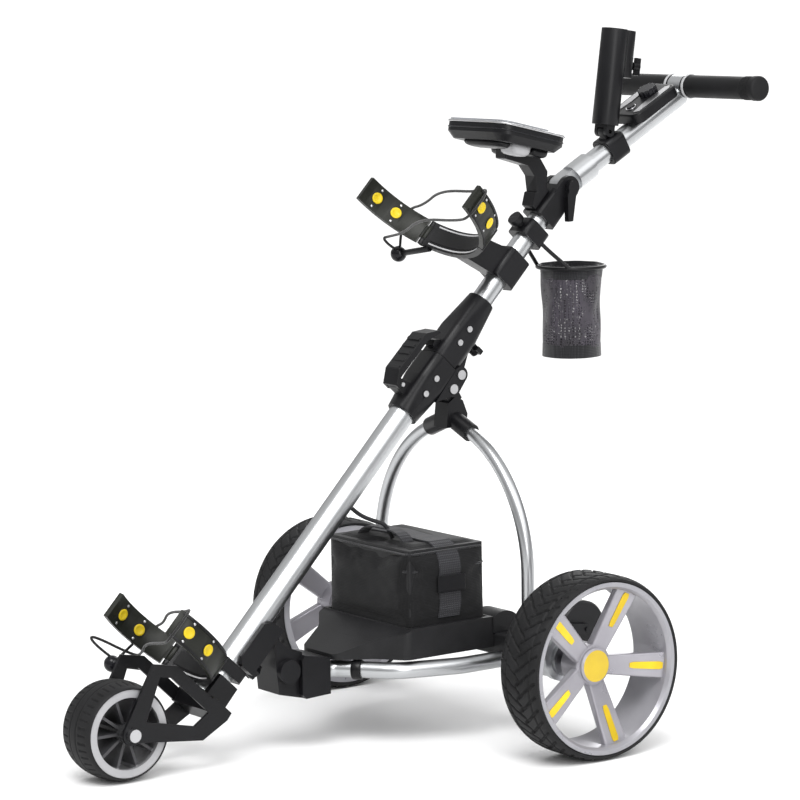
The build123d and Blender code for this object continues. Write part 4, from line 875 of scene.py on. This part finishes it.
def over_bag(y, half_width, lift, name, material, drop_left, drop_right):
    """A strap laid over the bag from side to side at one place along it."""
    line = []
    outer_x = bag_high.x + 0.002
    top_z = bag_high.z + 0.0015
    corner = 0.012
    line.append((outer_x, drop_left))
    line += [(outer_x, drop_left + (top_z - corner - drop_left) * step / 8) for step in range(1, 9)]
    line += [
        (outer_x - corner + corner * cos(radians(turn)), top_z - corner + corner * sin(radians(turn)))
        for turn in range(15, 91, 15)
    ]
    line += [(outer_x - corner - (2 * outer_x - 2 * corner) * step / 16, top_z) for step in range(1, 17)]
    line += [
        (-outer_x + corner - corner * sin(radians(turn)), top_z - corner + corner * cos(radians(turn)))
        for turn in range(15, 91, 15)
    ]
    line += [(-outer_x, top_z - corner - (top_z - corner - drop_right) * step / 8) for step in range(1, 9)]
    path, widths, normals = [], [], []
    for number, (x, z) in enumerate(line):
        before, after = line[max(number - 1, 0)], line[min(number + 1, len(line) - 1)]
        tangent = Vector((after[0] - before[0], 0, after[1] - before[1])).normalized()
        normal = Vector((-tangent.z, 0, tangent.x)) * -1
        if normal.dot(Vector((x, 0, z - middle.z))) < 0:
            normal = normal * -1
        ripple = noise.noise(Vector((x * 30, y * 30, z * 30))) * 0.0006
        path.append(resting(Vector((x, y, z)), lift + ripple))
        widths.append(Vector((0, half_width, 0)))
        normals.append(normal)
    return ribbon(name, path, widths, normals, 0.0016, material, "chassis")


over_bag(middle.y, 0.019, 0.0012, "bag_strap", WEBBING, TRAY_TOP + 0.002, TRAY_TOP + 0.002)
buckle_z = bag_high.z - 0.055
slab(
    "strap_buckle",
    [Vector((bag_high.x + 0.0065, middle.y + y, buckle_z + z)) for y, z in (
        (-0.024, -0.012), (0.024, -0.012), (0.024, 0.012), (-0.024, 0.012))],
    Vector((0.0035, 0, 0)), BLACK, "chassis", 0.0012,
)

# a carrying handle stands in a low arch along the top of the bag
path, widths, normals = [], [], []
for step in range(25):
    share = -1 + step / 12
    lift = 0.014 * (1 - share ** 4) + 0.001
    path.append(Vector((0.055 * share, middle.y - 0.036, bag_high.z - 0.001 + lift)))
    widths.append(Vector((0, 0.0095, 0)))
    slope = -0.056 * share ** 3 / 0.055
    normals.append(Vector((-slope, 0, 1)).normalized())
ribbon("bag_handle", path, widths, normals, 0.0022, WEBBING, "chassis")

# ---- mesh pouch ----
pouch_low, pouch_high = span("mesh_pouch")
pouch_centre = (pouch_low + pouch_high) / 2
pouch_radius = (pouch_high.x - pouch_low.x) / 2
POUCH_BASE_RADIUS = 0.0435
AROUND, UP = 72, 40


def pouch_shell(name, bottom, top, inset, material, thickness, sag):
    """A round wall of the pouch between two heights, closed in thickness, with soft folds."""
    points = []
    for side_offset in (0.0, thickness):
        for level_step in range(UP + 1):
            share = level_step / UP
            z = bottom + (top - bottom) * share
            whole = (z - pouch_low.z) / (pouch_high.z - pouch_low.z)
            for step in range(AROUND):
                angle = 2 * pi * step / AROUND
                spoke = Vector((cos(angle), sin(angle), 0))
                slack = noise.noise(Vector((cos(angle) * 2.2, sin(angle) * 2.2, whole * 3.0)))
                ripple = slack * sag * sin(pi * whole)
                gather = 0.0012 * sin(angle * 9) * max(0.0, whole - 0.7) / 0.3
                taper = POUCH_BASE_RADIUS + (pouch_radius - POUCH_BASE_RADIUS) * whole
                radius = taper - inset - side_offset + ripple + gather - 0.0025 * sin(pi * whole)
                points.append(Vector((pouch_centre.x, pouch_centre.y, z)) + spoke * radius)
    layer = (UP + 1) * AROUND
    faces = ring_faces(UP + 1, AROUND, closed_ends=False)
    faces += [tuple(layer + index for index in reversed(face)) for face in faces]
    for level_step in (0, UP):
        for step in range(AROUND):
            after = (step + 1) % AROUND
            a, b = level_step * AROUND + step, level_step * AROUND + after
            faces.append((a, b, layer + b, layer + a))
    return piece(name, points, faces, material, "upper_frame")


net = pouch_shell("pouch_net", pouch_low.z + 0.016, pouch_high.z - 0.014, 0.0, NET, 0.0006, 0.0035)
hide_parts("mesh_pouch")
pouch_shell("pouch_band", pouch_high.z - 0.020, pouch_high.z, -0.0004, TAPE, 0.0016, 0.0)
pouch_shell("pouch_base_band", pouch_low.z + 0.001, pouch_low.z + 0.020, -0.0006, TAPE, 0.0016, 0.0)
turned(
    "pouch_base", Vector((pouch_centre.x, pouch_centre.y, pouch_low.z)), Vector((0, 0, 1)),
    [(0, 0.3), (0, 39), (1.2, 42.4), (3.0, 42.8), (3.0, 0.3)], TAPE, "upper_frame", 64,
)

# ---- small metal and plastic trim ----
for hand, sign in (("left", 1), ("right", -1)):
    centre = joint_at(f"rotor_{hand}_spin")
    for bolt in range(6):
        angle = radians(30 + 60 * bolt)
        spot = Vector((sign * 0.1938, centre.y + 0.0325 * cos(angle), centre.z + 0.0325 * sin(angle)))
        turned(
            f"motor_bolt_{hand}_{bolt}", spot, X_AXIS * sign,
            [(0, 0.2), (0, 2.3), (1.8, 2.3), (2.2, 1.8), (2.2, 0.2)], BRIGHT, "chassis", 6,
        )

grip_low, grip_high = span("grip_left")
bar_centre = Vector((0, (grip_low.y + grip_high.y) / 2, (grip_low.z + grip_high.z) / 2))
for hand, sign in (("left", 1), ("right", -1)):
    hoop(
        f"grip_ring_{hand}", bar_centre + X_AXIS * sign * 0.0172, X_AXIS * sign,
        [(0, 17.2), (0.6, 18.4), (4.4, 18.4), (5, 17.2)], GREY, "handle",
    )
    for rib in range(6):
        hoop(
            f"grip_rib_{hand}_{rib}", bar_centre + X_AXIS * sign * (0.146 + 0.003 * rib), X_AXIS * sign,
            [(0, 16.8), (0.4, 17.7), (1.2, 17.7), (1.6, 16.8)], FOAM, "handle",
        )

# ---- console: a bright lip round the tray, ribs and a grey pocket beneath ----
CONSOLE_TILT = radians(-13)
CONSOLE_CENTRE = (104.0, 862.0)
CONSOLE_SIZE = (146.0, 124.0)
CONSOLE_THICKNESS = 26.0
CONSOLE_UP = Vector((0, -sin(CONSOLE_TILT), cos(CONSOLE_TILT)))
CONSOLE_AFT = Vector((0, cos(CONSOLE_TILT), sin(CONSOLE_TILT)))


def console_at(lateral, aft, lift):
    return place(lateral, *CONSOLE_CENTRE) + (CONSOLE_AFT * aft + CONSOLE_UP * lift) * MM


def console_outline(grow, rounding, lift, steps=8):
    """A rounded rectangle round the console, as points in order."""
    half_x, half_y = CONSOLE_SIZE[0] / 2 + grow, CONSOLE_SIZE[1] / 2 + grow
    corners = ((half_x, half_y, 0), (-half_x, half_y, 90), (-half_x, -half_y, 180), (half_x, -half_y, 270))
    loop = []
    for x, y, start in corners:
        for step in range(steps + 1):
            angle = radians(start + 90 * step / steps)
            inner_x = x - rounding * (1 if x > 0 else -1)
            inner_y = y - rounding * (1 if y > 0 else -1)
            loop.append(console_at(inner_x + rounding * cos(angle), inner_y + rounding * sin(angle), lift))
    return loop


seam("console_lip", console_outline(0.4, 24.4, -1.2), 0.0017, BRIGHT, "upper_frame")
seam("console_waist", console_outline(0.2, 24.2, -10.0), 0.0012, GLOSS, "upper_frame")


def blister(name, lateral, aft, half_x, half_y, depth, material):
    """A moulded bulge under the console: a rounded dome with a flat foot."""
    rings = []
    for share, drop in ((1.0, 0.0), (0.98, 0.45), (0.9, 0.75), (0.72, 0.93), (0.4, 1.0), (0.05, 1.0)):
        for step in range(32):
            angle = 2 * pi * step / 32
            squared = max(abs(cos(angle)), abs(sin(angle))) ** -0.45
            rings.append(console_at(
                lateral + half_x * share * cos(angle) * squared, aft + half_y * share * sin(angle) * squared,
                -CONSOLE_THICKNESS + 0.4 - depth * drop,
            ))
    return piece(name, rings, ring_faces(6, 32), material, "upper_frame")


blister("well_bulge_left", 38, 30, 15, 16, 11, BLACK)
blister("well_bulge_right", -38, 30, 15, 16, 11, BLACK)
blister("card_bulge", 0, -30, 46, 17, 9, BLACK)
blister("grey_pocket", 34, -4, 20, 18, 15, GREY)

# ---- control pod: a bright fascia round the dial and button ----
HANDLE_ANGLE = radians(29.1)
HANDLE_ALONG = Vector((0, cos(HANDLE_ANGLE), sin(HANDLE_ANGLE)))
HANDLE_OUT = Vector((0, -sin(HANDLE_ANGLE), cos(HANDLE_ANGLE)))
pivot = joint_at("handle_tilt")


def handle_at(lateral, along, out):
    return pivot + X_AXIS * lateral * MM + (HANDLE_ALONG * along + HANDLE_OUT * out) * MM


POD_FACE = 32.0
FASCIA_OUTLINE = ((19, 158), (29, 162), (29, 230), (24, 236), (17, 232), (15, 190))
for hand, sign in (("left", 1), ("right", -1)):
    corners = [handle_at(sign * lateral, along, POD_FACE + 0.05) for lateral, along in FASCIA_OUTLINE]
    slab(f"fascia_{hand}", corners, HANDLE_OUT * 0.9 * MM, BRIGHT, "handle", 0.0003)
hoop(
    "button_ring", handle_at(0, 172, POD_FACE), HANDLE_OUT, [(0, 6.6), (0, 8.8), (1.2, 8.3), (1.2, 6.9)],
    BRIGHT, "handle", 40,
)

# ---- black band on each rail ----
for hand, sign in (("left", 1), ("right", -1)):
    start, end = place(sign * 40, -222, 110), place(sign * 62, -205, 110)
    centre = (start + end) / 2
    hoop(
        f"rail_band_{hand}", centre, (end - start),
        [(-7, 12.2), (-7, 13.6), (-5.6, 14.4), (5.6, 14.4), (7, 13.6), (7, 12.2)],
        BLACK, "chassis", 40,
    )


# ---- stage, light and camera ----
def pale_floor():
    build = Nodes("pale_floor")
    build.base(build.ramp(build.noise(0.6, 2), [(0.3, (0.90, 0.90, 0.90)), (0.7, (0.93, 0.93, 0.93))]))
    build.set(roughness=0.9)
    mesh = bpy.data.meshes.new("floor")
    reach = 150.0
    corners = [(-reach, -reach, 0), (reach, -reach, 0), (reach, reach, 0), (-reach, reach, 0)]
    mesh.from_pydata(corners, [], [(0, 1, 2, 3)])
    mesh.materials.append(build.material)
    floor = bpy.data.objects.new("floor", mesh)
    bpy.context.collection.objects.link(floor)


pale_floor()


def sun(name, strength, softness, direction):
    light = bpy.data.lights.new(name, "SUN")
    light.energy = strength
    light.angle = radians(softness)
    lamp = bpy.data.objects.new(name, light)
    lamp.rotation_euler = Vector(direction).to_track_quat("-Z", "Y").to_euler()
    bpy.context.collection.objects.link(lamp)


def panel(name, position, target, size, power):
    light = bpy.data.lights.new(name, "AREA")
    light.shape = "RECTANGLE"
    light.size, light.size_y = size
    light.energy = power
    lamp = bpy.data.objects.new(name, light)
    lamp.location = position
    lamp.rotation_euler = (Vector(target) - Vector(position)).to_track_quat("-Z", "Y").to_euler()
    bpy.context.collection.objects.link(lamp)


sun("key", 1.9, 30, (-0.55, 0.6, -1.3))
sun("fill", 0.5, 40, (-0.9, -0.3, -0.7))
panel("side_card", (2.2, -0.6, 1.5), (0, 0, 0.5), (0.8, 2.2), 28)
panel("back_card", (-1.4, 1.8, 1.6), (0, 0, 0.5), (1.0, 2.0), 22)


def pale_studio():
    """A white room that darkens below the horizon."""
    world = bpy.data.worlds.new("studio")
    bpy.context.scene.world = world
    world.use_nodes = True
    nodes, links = world.node_tree.nodes, world.node_tree.links
    background = nodes["Background"]
    coordinates = nodes.new("ShaderNodeTexCoord")
    split = nodes.new("ShaderNodeSeparateXYZ")
    links.new(coordinates.outputs["Generated"], split.inputs["Vector"])
    shade = nodes.new("ShaderNodeValToRGB")
    ground, sky = shade.color_ramp.elements
    ground.position, ground.color = 0.0, (0.30, 0.30, 0.31, 1)
    sky.position, sky.color = 0.55, (1.0, 1.0, 1.0, 1)
    links.new(split.outputs["Z"], shade.inputs["Fac"])
    links.new(shade.outputs["Color"], background.inputs["Color"])
    background.inputs["Strength"].default_value = 0.75
    bpy.context.scene.view_settings.view_transform = "Standard"


pale_studio()

CAMERA_PLACE = (3885.49, -2907.87, 1111.59)
CAMERA_YAW, CAMERA_PITCH, CAMERA_ROLL = radians(54.1), radians(7.5), radians(-0.9)
FILM_WIDTH = 36
FOCAL_LENGTH = 151.5177


def make_camera():
    yaw, pitch, roll = CAMERA_YAW, CAMERA_PITCH, CAMERA_ROLL
    forward = Vector((-sin(yaw) * cos(pitch), cos(yaw) * cos(pitch), -sin(pitch)))
    right = Vector((cos(yaw), sin(yaw), 0))
    above = right.cross(forward)
    turned_right = right * cos(roll) + above * sin(roll)
    turned_above = above * cos(roll) - right * sin(roll)
    lens = bpy.data.cameras.new("camera")
    lens.sensor_width = FILM_WIDTH
    lens.lens = FOCAL_LENGTH
    lens.clip_end = 400
    camera = bpy.data.objects.new("camera", lens)
    rotation = Matrix((turned_right, turned_above, -forward)).transposed()
    camera.matrix_world = Matrix.Translation(place(*CAMERA_PLACE)) @ rotation.to_4x4()
    bpy.context.collection.objects.link(camera)
    bpy.context.scene.camera = camera


make_camera()

bpy.context.view_layer.update()
